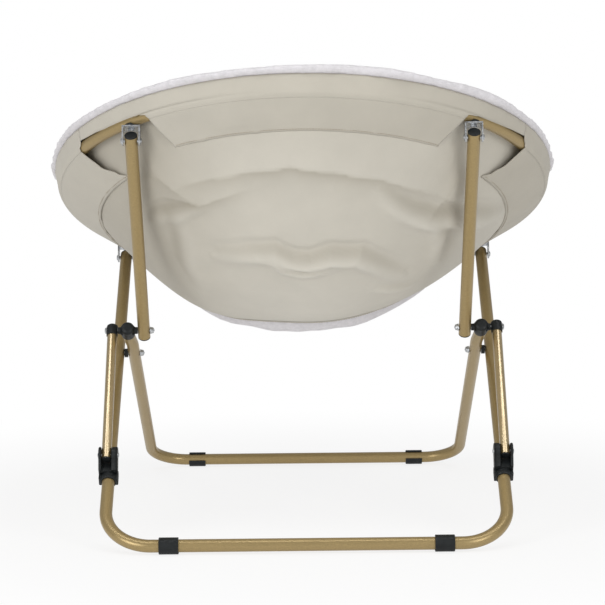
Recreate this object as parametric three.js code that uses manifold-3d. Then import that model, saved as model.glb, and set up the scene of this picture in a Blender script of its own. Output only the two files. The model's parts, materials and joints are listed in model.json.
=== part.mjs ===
// Folding saucer chair: a padded round seat on a steel ring, carried by two crossing U shaped
// tube legs, two back posts and two struts that slide down the rear legs.
// Millimetres, +Z up, the front of the seat faces -Y, the sitter's left is +X.
import * as THREE from 'three';
import { mergeVertices } from 'three/addons/utils/BufferGeometryUtils.js';
import Module from 'manifold-3d';

const wasm = await Module();
wasm.setup();

// Fits
const seat_gap = 0.3; // between two pieces that touch
const bolt_clearance = 0.3; // round a bolt or rivet in its hole, on the radius
const slide_clearance = 0.4; // round a tube in its collar, on the radius
const cut_overrun = 4; // how far a cutting solid runs past what it cuts

// Tubes
const tube_diameter = 19;
const tube_wall = 1.2;
const strut_diameter = 15;
const strut_wall = 1.2;
const rear_bend_radius = 70;
const front_bend_radius = 62;

// Places across the chair, from its middle plane
const rear_leg_offset = 297.5;
const front_leg_offset = 272.5;
const knuckle_offset = 276.3;
const post_offset = 251;
const strut_offset = 300.5;

// Side view: forward distances start at the rear floor bar
const bar_height = 12; // floor to the centre of a floor bar
const base_depth = 748; // rear floor bar to front floor bar
const rear_leg_pitch = THREE.MathUtils.degToRad(35.8);
const rear_leg_length = 651; // floor bar to the front bracket's pivot
const crossing_distance = 416; // floor bar to the pivot where the legs cross
const front_leg_rise = 87; // crossing pivot to the knuckle's pivot
const ring_radius = 375; // to the centre of the ring's tube
const ring_tilt = THREE.MathUtils.degToRad(24.3);
const pivot_drop = 31.5; // ring's tube centre to a bracket's pivot
const collar_distance = 141.5; // floor bar to the sliding collar's middle
const ear_reach = 22; // collar's middle to the strut's pivot, up the leg
const ear_rise = 24; // rear leg's centre to the strut's pivot

// Tube ends past their pivots
const leg_top_run = 7;
const post_top_run = 8;
const post_foot_run = 12;
const strut_top_run = 6;
const strut_foot_run = 6;
const knuckle_run = 9;

// Jog that moves the front leg's top outwards to the knuckle
const jog_start = 36; // from the crossing pivot
const jog_end = 70;
const jog_bend_radius = 60;

// Bolts, rivets and spacers
const bolt_diameter = 6;
const bolt_head_diameter = 11;
const bolt_head_height = 3;
const carriage_head_height = 2.1;
const dome_shoulder_share = 0.75; // where a domed head's shoulder lies
const dome_nut_diameter = 11.5;
const dome_nut_height = 7;
const hex_nut_width = 10.5;
const hex_nut_height = 4;
const rivet_head_diameter = 10;
const rivet_head_height = 2.2;
const spacer_diameter = 14;

// Knuckle cap on each front leg's top
const knuckle_diameter = 21.4;
const knuckle_length = 25;
const knuckle_floor = 3;
const knuckle_round = 5;
const round_middle_share = 0.3; // of its rounding, where the middle of a rounded edge lies
const neck_diameter = 11;

// Strut's top cap
const cap_diameter = 17.6;
const cap_length = 19;
const cap_floor = 3;
const cap_round = 2;

// Tube plugs
const plug_flange = 2;
const plug_stub = 3;
const plug_fit = 0.3;

// Sliding collar
const collar_diameter = 25;
const collar_length = 24;
const ear_thickness = 4.4;
const ear_radius = 10;
const lobe_length = 20;
const lobe_width = 15;
const lobe_spread = 29; // over both lobes
const pin_diameter = 5;

// Seat brackets
const bracket_gap = 22.4; // between a bracket's two legs
const bracket_plate = 2.2;
const bracket_length = 22; // along the seat's depth
const bracket_tail = 7.4; // leg below the pivot
const saddle_diameter = 19;
const saddle_wrap = 2.5; // saddle's rim above the ring's lowest line
const web_drop = 11; // ring's tube centre to the bracket's web

// Foot clips
const foot_radius = 12.5;
const foot_length = 29;
const foot_clearance = 0.35;
const rear_foot_offset = 201.8;
const front_foot_offset = 193.5;
const foot_mouth_half = THREE.MathUtils.degToRad(36);
const foot_mouth_rise = THREE.MathUtils.degToRad(33);

// Cloth under the seat
const cloth_thickness = 2.2;
const pan_inset = 8.7; // ring's tube centre in to where the pan leaves the ring
const pan_rise = 6.6; // above the ring's centre plane
const pan_post_reach = 36.4; // a back post's centre to the pan's middle
const pan_edge_share = 0.97; // outside this the pan's depth isn't set by the posts
const pan_power = 2.2; // the pan's curve
const over_ring_rise = 15; // cloth's middle above the ring's centre
const seam_reach = 14; // edge seam outwards from the ring's centre
const seam_rise = 24;
const hem_distance = 95; // pan's middle to the cloth's front hem
const hem_radius = 300; // the hem's opening in the cloth
const fold_rise = 5;
const shoulder_angle = THREE.MathUtils.degToRad(135); // on the ring, where the pan meets it
const seam_angle = THREE.MathUtils.degToRad(126); // which way the cloth faces at its edge seam
const pan_rows_share = [0, 0.2, 0.38, 0.54, 0.68, 0.8, 0.9, 1];

// Folds: their middle as shares of the pan's radius, turn, half sizes and height as shares
const folds = [
  { across_share: 0, back_share: 0.42, turn: 0, long_share: 0.32, wide_share: 0.07, high_share: 1 },
  { across_share: 0.52, back_share: 0.1, turn: 0.5, long_share: 0.22, wide_share: 0.07, high_share: 0.9 },
  { across_share: -0.5, back_share: 0.02, turn: -0.45, long_share: 0.25, wide_share: 0.08, high_share: 0.9 },
  { across_share: -0.05, back_share: -0.12, turn: 0.12, long_share: 0.24, wide_share: 0.07, high_share: 0.8 },
];

// Sleeves that hold the ring
const sleeve_thickness = 1.8;
const sleeve_depth = 55; // ring to the sleeve's lower seam, along the pan
const sleeve_side = 14.5; // sleeve's middle out from the ring's centre
const cloth_slack = 1.2; // between a sleeve's edges and the cloth that they are sewn to
const rear_sleeve_half = THREE.MathUtils.degToRad(38);
const rear_sleeve_draw = THREE.MathUtils.degToRad(3);
const side_sleeve_rear = THREE.MathUtils.degToRad(60);
const side_sleeve_draw = THREE.MathUtils.degToRad(4);
const front_slot_half = THREE.MathUtils.degToRad(6.5);
// Sleeve round the ring: shares of its half width, of its rise or drop, and which way it faces
const sleeve_shares = [
  { out_share: 1, rise_share: 0.5, drop_share: 0, facing: THREE.MathUtils.degToRad(180) },
  { out_share: 0.85, rise_share: 0, drop_share: 0.55, facing: THREE.MathUtils.degToRad(148) },
  { out_share: 0.3, rise_share: 0, drop_share: 1, facing: THREE.MathUtils.degToRad(108) },
  { out_share: -0.5, rise_share: 0, drop_share: 1, facing: THREE.MathUtils.degToRad(99) },
];

// Padded seat
const pad_thickness = 27;
const rim_reach = 28; // pad's edge outwards from the ring's centre
const rim_top = 42; // pad's crest above the ring's centre
const rim_crest_in = 12; // crest inwards from the ring's centre
const crest_share = 0.97; // of the rim's height, at the crest's inner side
// Rim's outline: shares of its reach outwards, and of its height from the seam to the crest
const rim_shares = [[0.8, 0], [1, 0.3], [0.7, 0.8], [0.15, 1]];
const belly_drop = 15; // pad's front underside below the cloth
const belly_margin = 44; // from the hem to where the drop starts
const belly_blend = 40; // and from there to the full drop

// Faces of round and swept pieces
const tube_sides = 12;
const bend_steps = 6;
const small_sides = 10;
const collar_sides = 16;
const hex_sides = 6;
const corner_steps = 5;
const foot_steps = 16;
const ring_steps = 40;
const post_steps = 24;
const rear_sleeve_steps = 12;
const side_sleeve_steps = 8;

// Materials: colour, roughness, metalness
const material = (color, roughness, metalness) => () =>
  new THREE.MeshStandardMaterial({ color, roughness, metalness });
const gold = material(0xa58c5f, 0.35, 0.9);
const black = material(0x2d2f30, 0.5, 0);
const zinc = material(0xb4b8ba, 0.3, 1);
const canvas = material(0xcdc7ba, 0.9, 0);
const plush = material(0xd9d7d8, 1, 0);

// Side view geometry worked out from the sizes above, as (forward, up)
const along = (start, angle, length) =>
  new THREE.Vector2(start.x + Math.cos(angle) * length, start.y + Math.sin(angle) * length);
const rear_bar = new THREE.Vector2(0, bar_height);
const front_bar = new THREE.Vector2(base_depth, bar_height);
const crossing = along(rear_bar, rear_leg_pitch, crossing_distance);
const front_pivot = along(rear_bar, rear_leg_pitch, rear_leg_length);
const front_leg_line = crossing.clone().sub(front_bar);
const front_leg_angle = front_leg_line.angle();
const front_leg_length = front_leg_line.length();
const knuckle = along(crossing, front_leg_angle, front_leg_rise);
const ring_rearward = Math.PI - ring_tilt;
const ring_upward = Math.PI / 2 - ring_tilt;
const chord = (offset) => Math.sqrt(ring_radius ** 2 - offset ** 2);
const ring_centre = along(along(front_pivot, ring_upward, pivot_drop), ring_rearward, chord(rear_leg_offset));
const rear_pivot = along(along(ring_centre, ring_rearward, chord(post_offset)), ring_upward, -pivot_drop);
const strut_pivot = along(
  along(rear_bar, rear_leg_pitch, collar_distance + ear_reach),
  rear_leg_pitch + Math.PI / 2,
  ear_rise,
);
const post_line = rear_pivot.clone().sub(knuckle);
const strut_line = knuckle.clone().sub(strut_pivot);

// A side view place in the ring's frame, as (back, up)
function inRing(place) {
  const local = place.clone().sub(ring_centre).rotateAround(new THREE.Vector2(), ring_tilt);
  return new THREE.Vector2(-local.x, local.y);
}

// The pan is as deep as the back posts leave room for
const pan_radius = ring_radius - pan_inset;
const post_ends = [knuckle, rear_pivot].map(inRing);
const panDepthAt = (post) => {
  const share = Math.hypot(post_offset, post.x) / pan_radius;
  const room = pan_rise - post.y - pan_post_reach;
  return share < pan_edge_share ? room / (1 - share ** pan_power) : Infinity;
};
const post_places = Array.from({ length: post_steps + 1 }, (_, i) =>
  post_ends[0].clone().lerp(post_ends[1], i / post_steps));
const pan_depth = Math.min(...post_places.map(panDepthAt));

// Radii used in several pieces
const tube_radius = tube_diameter / 2;
const strut_radius = strut_diameter / 2;
const hole_diameter = bolt_diameter + 2 * bolt_clearance;

// Solids: cutting and joining closed meshes
function solidOf(geometry) {
  const bare = geometry.clone();
  bare.deleteAttribute('normal');
  bare.deleteAttribute('uv');
  const merged = mergeVertices(bare);
  return new wasm.Manifold(new wasm.Mesh({
    numProp: 3,
    vertProperties: new Float32Array(merged.attributes.position.array),
    triVerts: new Uint32Array(merged.index.array),
  }));
}

function geometryOf(solid) {
  const mesh = solid.getMesh();
  const geometry = new THREE.BufferGeometry();
  geometry.setAttribute('position', new THREE.BufferAttribute(mesh.vertProperties, mesh.numProp));
  geometry.setIndex(new THREE.BufferAttribute(mesh.triVerts, 1));
  geometry.computeVertexNormals();
  return geometry;
}

function join(...geometries) {
  return geometryOf(geometries.map(solidOf).reduce((whole, next) => whole.add(next)));
}

function cut(geometry, ...cutters) {
  return geometryOf(cutters.map(solidOf).reduce((whole, next) => whole.subtract(next), solidOf(geometry)));
}

function mirrored(geometry) {
  const copy = mergeVertices(geometry.clone());
  copy.scale(-1, 1, 1);
  const index = copy.index.array;
  for (let i = 0; i < index.length; i += 3) {
    const second = index[i + 1];
    index[i + 1] = index[i + 2];
    index[i + 2] = second;
  }
  copy.computeVertexNormals();
  return copy;
}

// A round bar along X, from one place to another
function rod(diameter, from, to, sides = small_sides) {
  const geometry = new THREE.CylinderGeometry(diameter / 2, diameter / 2, to - from, sides);
  geometry.rotateZ(-Math.PI / 2);
  geometry.translate((from + to) / 2, 0, 0);
  return geometry;
}

// A turned piece along X: its outline is a list of (radius, place)
function turnedAlongX(outline, sides = small_sides) {
  const geometry = new THREE.LatheGeometry(outline.map(([r, x]) => new THREE.Vector2(r, x)), sides);
  geometry.rotateZ(-Math.PI / 2);
  return geometry;
}

// A turned piece along Z
function turnedAlongZ(outline, sides = small_sides) {
  const geometry = new THREE.LatheGeometry(outline.map(([r, z]) => new THREE.Vector2(r, z)), sides);
  geometry.rotateX(Math.PI / 2);
  return geometry;
}

// An outline made into a plate, from z = 0 up
function flatPlate(outline, depth) {
  return new THREE.ExtrudeGeometry(outline, { depth, curveSegments: corner_steps, bevelEnabled: false });
}

// A tube's centre line, with a station at each end and all through its bends
class TubeRun extends THREE.Curve {
  constructor(stations) {
    super();
    this.stations = stations;
  }

  stationAt(share) {
    return this.stations[Math.round(share * (this.stations.length - 1))];
  }

  getPoint(share, target = new THREE.Vector3()) {
    return target.copy(this.stationAt(share).point);
  }

  getPointAt(share, target) {
    return this.getPoint(share, target);
  }

  getTangentAt(share, target = new THREE.Vector3()) {
    return target.copy(this.stationAt(share).heading);
  }
}

// Stations of a bend of the given radius at a corner
function bendStations(before, corner, after, radius) {
  const arriving = corner.clone().sub(before).normalize();
  const leaving = after.clone().sub(corner).normalize();
  const turn = arriving.angleTo(leaving);
  const axis = arriving.clone().cross(leaving).normalize();
  const start = corner.clone().addScaledVector(arriving, -radius * Math.tan(turn / 2));
  const inward = leaving.clone().sub(arriving).normalize();
  const centre = corner.clone().addScaledVector(inward, radius / Math.cos(turn / 2));
  const steps = Math.max(2, Math.round(bend_steps * turn / (Math.PI / 2)));
  return Array.from({ length: steps + 1 }, (_, i) => ({
    point: start.clone().sub(centre).applyAxisAngle(axis, turn * i / steps).add(centre),
    heading: arriving.clone().applyAxisAngle(axis, turn * i / steps),
  }));
}

// A centre line through corners given as [x, y, bend radius] in one plane
function bentRun(corners) {
  const points = corners.map(([x, y]) => new THREE.Vector3(x, y, 0));
  const last = points.length - 1;
  const stations = [];
  points.forEach((point, i) => {
    if (i === 0) stations.push({ point, heading: points[1].clone().sub(point).normalize() });
    else if (i === last) stations.push({ point, heading: point.clone().sub(points[last - 1]).normalize() });
    else stations.push(...bendStations(points[i - 1], point, points[i + 1], corners[i][2]));
  });
  return new TubeRun(stations);
}

function tubeAlong(run, diameter, wall) {
  const section = new THREE.Shape();
  section.absarc(0, 0, diameter / 2, 0, 2 * Math.PI);
  const bore = new THREE.Path();
  bore.absarc(0, 0, diameter / 2 - wall, 0, 2 * Math.PI);
  section.holes.push(bore);
  return new THREE.ExtrudeGeometry(section, {
    steps: run.stations.length - 1,
    curveSegments: tube_sides / 2,
    extrudePath: run,
    bevelEnabled: false,
  });
}

// A straight tube along Z
function straightTube(diameter, wall, from, to) {
  const outer = diameter / 2;
  const inner = outer - wall;
  return turnedAlongZ([[inner, from], [outer, from], [outer, to], [inner, to], [inner, from]], tube_sides);
}

// The frames that the pieces are built in
const chair = new THREE.Group();

function frameAt(place, turn) {
  const frame = new THREE.Group();
  frame.position.set(0, -place.x, place.y);
  frame.rotation.x = turn;
  chair.add(frame);
  return frame;
}

// Y runs up the rear leg from the rear floor bar, Z points away from the seat
const rear_leg_frame = frameAt(rear_bar, Math.PI - rear_leg_pitch);
// Y runs up the front leg from the front floor bar
const front_leg_frame = frameAt(front_bar, Math.PI - front_leg_angle);
// Z runs up the back post from the knuckle's pivot
const post_frame = frameAt(knuckle, Math.PI / 2 - post_line.angle());
// Z runs up the strut from its foot pivot
const strut_frame = frameAt(strut_pivot, Math.PI / 2 - strut_line.angle());
// Z is square to the ring's plane and Y points to the back of the seat
const ring_frame = frameAt(ring_centre, ring_tilt);
const rear_foot_frame = frameAt(rear_bar, 0);
const front_foot_frame = frameAt(front_bar, 0);

function addPiece(frame, name, geometry, finish, x = 0, y = 0, z = 0) {
  const mesh = new THREE.Mesh(geometry, finish);
  mesh.name = name;
  mesh.position.set(x, y, z);
  frame.add(mesh);
  return mesh;
}

// Each side of the chair: its name and the sign of its X
const sides = [['left', 1], ['right', -1]];
const onSide = (geometry, sign) => (sign > 0 ? geometry : mirrored(geometry));

// Rear legs and rear floor bar: one bent tube
function rearLegTube() {
  const top = rear_leg_length + leg_top_run;
  const run = bentRun([
    [rear_leg_offset, top],
    [rear_leg_offset, 0, rear_bend_radius],
    [-rear_leg_offset, 0, rear_bend_radius],
    [-rear_leg_offset, top],
  ]);
  const reach = rear_leg_offset + tube_radius + cut_overrun;
  const places = [rear_leg_length, crossing_distance];
  const holes = places.map((y) => rod(hole_diameter, -reach, reach).translate(0, y, 0));
  return cut(tubeAlong(run, tube_diameter, tube_wall), ...holes);
}

// Front legs and front floor bar: one bent tube with jogged tops
function frontLegTube() {
  const pivot = front_leg_length + front_leg_rise;
  const side = (sign) => [
    [sign * knuckle_offset, pivot + knuckle_run],
    [sign * knuckle_offset, front_leg_length + jog_end, jog_bend_radius],
    [sign * front_leg_offset, front_leg_length + jog_start, jog_bend_radius],
    [sign * front_leg_offset, 0, front_bend_radius],
  ];
  const run = bentRun([...side(1), ...side(-1).reverse()]);
  const reach = knuckle_offset + tube_radius + cut_overrun;
  const places = [pivot, front_leg_length];
  const holes = places.map((y) => rod(hole_diameter, -reach, reach).translate(0, y, 0));
  return cut(tubeAlong(run, tube_diameter, tube_wall), ...holes);
}

function crossDrilled(tube, ...heights) {
  const reach = tube_radius + cut_overrun;
  return cut(tube, ...heights.map((z) => rod(hole_diameter, -reach, reach).translate(0, 0, z)));
}

function postTube() {
  const length = post_line.length();
  const tube = straightTube(tube_diameter, tube_wall, -post_foot_run, length + post_top_run);
  return crossDrilled(tube, 0, length);
}

function strutTube() {
  const length = strut_line.length();
  const tube = straightTube(strut_diameter, strut_wall, -strut_foot_run, length + strut_top_run);
  return crossDrilled(tube, 0, length);
}

// A plug whose flange lies on a tube's end at z = 0 and whose stub goes down into it
function tubePlug(diameter, wall) {
  const stub = diameter / 2 - wall - plug_fit;
  const flange = diameter / 2;
  return turnedAlongZ([
    [0, -plug_stub],
    [stub, -plug_stub],
    [stub, seat_gap],
    [flange, seat_gap],
    [flange, seat_gap + plug_flange],
    [0, seat_gap + plug_flange],
  ], tube_sides);
}

// The knuckle: a cap over the front leg's end, closed at the top, with a neck on each side.
// Its middle is the pivot, Y runs up the leg and X points outwards.
function knuckleCap() {
  const radius = knuckle_diameter / 2;
  const bottom = -knuckle_length / 2;
  const top = knuckle_run + seat_gap + knuckle_floor;
  const shell = turnedAlongZ([
    [0, bottom],
    [radius, bottom],
    [radius, top - knuckle_round],
    [radius - knuckle_round * round_middle_share, top - knuckle_round * round_middle_share],
    [radius - knuckle_round, top],
    [0, top],
  ], collar_sides).rotateX(-Math.PI / 2);
  const outer_end = strut_offset - cap_diameter / 2 - seat_gap - knuckle_offset;
  const inner_end = post_offset + tube_radius + seat_gap - knuckle_offset;
  const necks = rod(neck_diameter, inner_end, outer_end);
  const bore_radius = tube_radius + seat_gap;
  const bore = turnedAlongZ([
    [0, bottom - cut_overrun],
    [bore_radius, bottom - cut_overrun],
    [bore_radius, knuckle_run + seat_gap],
    [0, knuckle_run + seat_gap],
  ], collar_sides).rotateX(-Math.PI / 2);
  const bolt_bore = rod(hole_diameter, inner_end - cut_overrun, outer_end + cut_overrun);
  return cut(join(shell, necks), bore, bolt_bore);
}

function strutCap() {
  const radius = cap_diameter / 2;
  const ceiling = strut_top_run + seat_gap;
  const top = ceiling + cap_floor;
  const bottom = top - cap_length;
  const shell = turnedAlongZ([
    [0, bottom],
    [radius, bottom],
    [radius, top - cap_round],
    [radius - cap_round, top],
    [0, top],
  ], collar_sides);
  const bore = rod(strut_diameter + 2 * seat_gap, bottom - cut_overrun, ceiling, collar_sides);
  bore.rotateY(-Math.PI / 2);
  return crossDrilled(cut(shell, bore), 0);
}

// Bolts and rivets lie along X, outwards
function domedHead(base, diameter, height) {
  const radius = diameter / 2;
  return [
    [radius, base],
    [radius * dome_shoulder_share, base + height * dome_shoulder_share],
    [0, base + height],
  ];
}

function headedPin(from, to, diameter, head_diameter, head_height) {
  return turnedAlongX([[0, from], [diameter / 2, from], [diameter / 2, to],
    ...domedHead(to, head_diameter, head_height)]);
}

function doubleHeadedPin(from, to, diameter, inner_head, outer_head) {
  const inner = domedHead(0, inner_head.diameter, inner_head.height);
  const inner_outline = inner.reverse().map(([r, x]) => [r, from - x]);
  return turnedAlongX([...inner_outline, [diameter / 2, from], [diameter / 2, to],
    ...domedHead(to, outer_head.diameter, outer_head.height)]);
}

const bolt_head = { diameter: bolt_head_diameter, height: bolt_head_height };
const dome_nut = { diameter: dome_nut_diameter, height: dome_nut_height };
const rivet_head = { diameter: rivet_head_diameter, height: rivet_head_height };

function crossingBolt() {
  const inner = front_leg_offset - tube_radius - seat_gap;
  const outer = rear_leg_offset + tube_radius + seat_gap;
  return doubleHeadedPin(inner, outer, bolt_diameter, dome_nut, bolt_head);
}

function crossingSpacer() {
  const inner = front_leg_offset + tube_radius + seat_gap;
  const outer = rear_leg_offset - tube_radius - seat_gap;
  const radius = spacer_diameter / 2;
  const bore = hole_diameter / 2;
  const outline = [[bore, inner], [radius, inner], [radius, outer], [bore, outer], [bore, inner]];
  return turnedAlongX(outline, collar_sides);
}

// The bolt through strut cap, knuckle and post, in the three lengths that those pieces carry
function strutBolt() {
  const inner = strut_offset - cap_diameter / 2;
  const outer = strut_offset + cap_diameter / 2 + seat_gap;
  return headedPin(inner, outer, bolt_diameter, bolt_head_diameter, bolt_head_height);
}

function knuckleBolt() {
  const inner = post_offset + tube_radius + seat_gap;
  const outer = strut_offset - cap_diameter / 2 - seat_gap;
  return rod(bolt_diameter, inner, outer);
}

function postBolt() {
  const inner = post_offset - tube_radius - seat_gap;
  const outer = post_offset + tube_radius;
  const bolt = headedPin(-outer, -inner, bolt_diameter, dome_nut_diameter, dome_nut_height);
  return mirrored(bolt);
}

// Sliding collar round the rear leg, in the leg's frame with Y up the leg and Z away from the seat
function sliderBody() {
  const collar = rod(collar_diameter, -collar_length / 2, collar_length / 2, collar_sides);
  collar.rotateZ(Math.PI / 2);
  const lobe_inner = tube_radius + slide_clearance;
  const lobe_outer = lobe_spread / 2;
  const lobes = [1, -1].map((sign) => {
    const outline = new THREE.Shape();
    outline.moveTo(-lobe_width / 2, -lobe_length / 2);
    outline.lineTo(lobe_width / 2, -lobe_length / 2);
    outline.lineTo(lobe_width / 2, lobe_length / 2 - lobe_width / 2);
    outline.absarc(0, lobe_length / 2 - lobe_width / 2, lobe_width / 2, 0, Math.PI);
    const lobe = flatPlate(outline, lobe_outer - lobe_inner);
    lobe.rotateY(Math.PI / 2);
    lobe.translate(sign > 0 ? lobe_inner : -lobe_outer, 0, 0);
    return lobe;
  });
  const ear_inner = strut_radius + slide_clearance;
  const strut_shift = strut_offset - rear_leg_offset;
  const ears = [1, -1].map((sign) => {
    const outline = new THREE.Shape();
    outline.moveTo(ear_reach + ear_radius, -ear_rise);
    outline.absarc(ear_reach, -ear_rise, ear_radius, 0, -Math.PI, true);
    outline.lineTo(-collar_length / 2 + ear_radius, -collar_diameter / 4);
    outline.lineTo(collar_length / 2, -collar_diameter / 4);
    const ear = flatPlate(outline, ear_thickness);
    ear.rotateY(-Math.PI / 2);
    ear.rotateX(Math.PI / 2);
    const start = strut_shift + (sign > 0 ? ear_inner + ear_thickness : -ear_inner);
    ear.translate(start, 0, 0);
    return ear;
  });
  const reach = collar_length + ear_reach + ear_radius;
  const bore = rod(tube_diameter + 2 * slide_clearance, -reach, reach, collar_sides).rotateZ(Math.PI / 2);
  const ear_span = ear_inner + ear_thickness + cut_overrun;
  const pin_hole = rod(pin_diameter + 2 * bolt_clearance, strut_shift - ear_span, strut_shift + ear_span);
  pin_hole.translate(0, ear_reach, -ear_rise);
  return cut(join(collar, ...lobes, ...ears), bore, pin_hole);
}

function sliderPin() {
  const reach = strut_radius + slide_clearance + ear_thickness + seat_gap;
  return doubleHeadedPin(-reach, reach, pin_diameter, rivet_head, rivet_head);
}

// Seat brackets, in the ring's frame with the ring's tube centre at z = 0
function seatBracket() {
  const half_gap = bracket_gap / 2;
  const web_top = -web_drop;
  const web = new THREE.BoxGeometry(bracket_gap + 2 * bracket_plate, bracket_length, bracket_plate);
  web.translate(0, 0, web_top - bracket_plate / 2);
  const legs = [1, -1].map((sign) => {
    const outline = new THREE.Shape();
    const half = bracket_length / 2;
    outline.moveTo(-half, web_top);
    outline.lineTo(-bracket_tail, -pivot_drop);
    outline.absarc(0, -pivot_drop, bracket_tail, Math.PI, 2 * Math.PI);
    outline.lineTo(half, web_top);
    const leg = flatPlate(outline, bracket_plate);
    leg.rotateX(Math.PI / 2);
    leg.rotateZ(Math.PI / 2);
    leg.translate(sign > 0 ? half_gap : -half_gap - bracket_plate, 0, 0);
    return leg;
  });
  const reach = half_gap + bracket_plate + cut_overrun;
  const pivot_hole = rod(hole_diameter, -reach, reach).translate(0, 0, -pivot_drop);
  const bolt_hole = rod(hole_diameter, -pivot_drop, 0).rotateY(Math.PI / 2);
  return cut(join(web, ...legs), pivot_hole, bolt_hole.translate(0, 0, -pivot_drop / 2));
}

function bracketPin() {
  const reach = bracket_gap / 2 + bracket_plate + seat_gap;
  return doubleHeadedPin(-reach, reach, bolt_diameter, rivet_head, rivet_head);
}

// The ring: one tube, drilled for the four bracket bolts
const bracket_places = [
  ['rear', post_offset, chord(post_offset)],
  ['front', rear_leg_offset, -chord(rear_leg_offset)],
];

function ringBody(radius) {
  const outline = Array.from({ length: tube_sides + 1 }, (_, i) => {
    const angle = 2 * Math.PI * i / tube_sides;
    return [ring_radius + radius * Math.cos(angle), radius * Math.sin(angle)];
  });
  outline[tube_sides] = outline[0];
  return turnedAlongZ(outline, ring_steps);
}

function ringTube() {
  const bolt_holes = bracket_places.flatMap(([, x, y]) => sides.map(([, sign]) => {
    const hole = rod(hole_diameter, -tube_diameter, tube_diameter).rotateY(Math.PI / 2);
    return hole.translate(sign * x, y, 0);
  }));
  return cut(ringBody(tube_radius), ringBody(tube_radius - tube_wall), ...bolt_holes);
}

// A saddle between the ring and a bracket's web, hollowed to the ring
function ringSaddle(x, y) {
  const bottom = -web_drop + seat_gap;
  const top = -tube_radius + saddle_wrap;
  const blank = rod(saddle_diameter, bottom, top, collar_sides).rotateY(-Math.PI / 2).translate(x, y, 0);
  const bolt_hole = rod(hole_diameter, -pivot_drop, 0).rotateY(-Math.PI / 2).translate(x, y, 0);
  return cut(blank, ringBody(tube_radius + seat_gap), bolt_hole).translate(-x, -y, 0);
}

// Carriage bolt down through ring, saddle and web, with its nut under the web
function ringBolt() {
  const under_web = -web_drop - bracket_plate - seat_gap;
  const tip = under_web - hex_nut_height;
  const top = tube_radius + seat_gap;
  const bolt = turnedAlongZ([[0, tip], [bolt_diameter / 2, tip], [bolt_diameter / 2, top],
    ...domedHead(top, bolt_head_diameter, carriage_head_height)]);
  const nut_radius = hex_nut_width / 2;
  const nut = turnedAlongZ([[0, tip], [nut_radius, tip], [nut_radius, under_web], [0, under_web]], hex_sides);
  return join(bolt, nut);
}

// Foot clip: a C that snaps on a floor bar, with its mouth turned up and inwards
function footClip(mouth_angle) {
  const inner = tube_radius + foot_clearance;
  const start = mouth_angle + foot_mouth_half;
  const sweep = 2 * Math.PI - 2 * foot_mouth_half;
    const outer_points = [];
  const inner_points = [];
  for (let i = 0; i <= foot_steps; i += 1) {
    const angle = start + sweep * i / foot_steps;
    const height = Math.max(foot_radius * Math.sin(angle), -bar_height);
    outer_points.push(new THREE.Vector2(foot_radius * Math.cos(angle), height));
    inner_points.unshift(new THREE.Vector2(inner * Math.cos(angle), inner * Math.sin(angle)));
  }
  const outline = new THREE.Shape([...outer_points, ...inner_points]);
  const clip = flatPlate(outline, foot_length);
  clip.translate(0, 0, -foot_length / 2);
  return clip.rotateX(Math.PI / 2).rotateZ(Math.PI / 2);
}

// Seat cloth, in the ring's frame. A section is a list of (out from the ring's centre, up)
// and an angle runs round the ring from the back of the seat.
function foldHeight(x, y) {
  return folds.reduce((sum, fold) => {
    const dx = x - fold.across_share * pan_radius;
    const dy = y - fold.back_share * pan_radius;
    const lengthwise = (dx * Math.cos(fold.turn) + dy * Math.sin(fold.turn)) / (fold.long_share * pan_radius);
    const crosswise = (dy * Math.cos(fold.turn) - dx * Math.sin(fold.turn)) / (fold.wide_share * pan_radius);
    return sum + fold.high_share * fold_rise * Math.exp(-(lengthwise ** 2) - crosswise ** 2);
  }, 0);
}

const panHeight = (radius) => pan_rise - pan_depth * (1 - (radius / pan_radius) ** pan_power);
const panSlope = (radius) => (pan_depth * pan_power / pan_radius) * (radius / pan_radius) ** (pan_power - 1);

// Cloth's middle line from the pan's centre to its edge seam, as [radius, height, normal angle]
function clothRows(angle) {
  const rows = pan_rows_share.map((share) => {
    const radius = share * pan_radius;
    const height = panHeight(radius) + foldHeight(radius * Math.sin(angle), radius * Math.cos(angle));
    return [radius, height, Math.PI / 2 + Math.atan(panSlope(radius))];
  });
  const shoulder_in = over_ring_rise * Math.cos(shoulder_angle);
  rows.push([ring_radius + shoulder_in, over_ring_rise * Math.sin(shoulder_angle), shoulder_angle]);
  rows.push([ring_radius, over_ring_rise, Math.PI / 2]);
  rows.push([ring_radius + seam_reach, seam_rise, seam_angle]);
  return rows;
}

const offsetRow = ([radius, height, normal], distance) =>
  [radius + Math.cos(normal) * distance, height + Math.sin(normal) * distance];

// Closed body from one section per angle. Sections start and end on the axis, and every face is
// split from its inner corner to its outer one, so that layers follow each other.
function discBody(sectionAt, steps) {
  const sections = Array.from({ length: steps }, (_, i) => sectionAt(2 * Math.PI * i / steps));
  const rows = sections[0].length;
  const positions = [0, 0, sections[0][0][1], 0, 0, sections[0][rows - 1][1]];
  sections.forEach((section, i) => {
    const angle = 2 * Math.PI * i / steps;
    section.slice(1, -1).forEach(([radius, height]) => {
      positions.push(radius * Math.sin(angle), radius * Math.cos(angle), height);
    });
  });
  const inner_rows = rows - 2;
  const at = (i, k) => 2 + (i % steps) * inner_rows + k;
  const index = [];
  for (let i = 0; i < steps; i += 1) {
    index.push(0, at(i, 0), at(i + 1, 0));
    index.push(1, at(i + 1, inner_rows - 1), at(i, inner_rows - 1));
    for (let k = 0; k < inner_rows - 1; k += 1) {
      const corners = [at(i, k), at(i, k + 1), at(i + 1, k + 1), at(i + 1, k)];
      const outward = sections[0][k + 2][0] > sections[0][k + 1][0];
      const [a, b, c, d] = outward ? corners : [...corners.slice(1), corners[0]];
      index.push(a, b, c, a, c, d);
    }
  }
  return indexedGeometry(positions, index);
}

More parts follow.
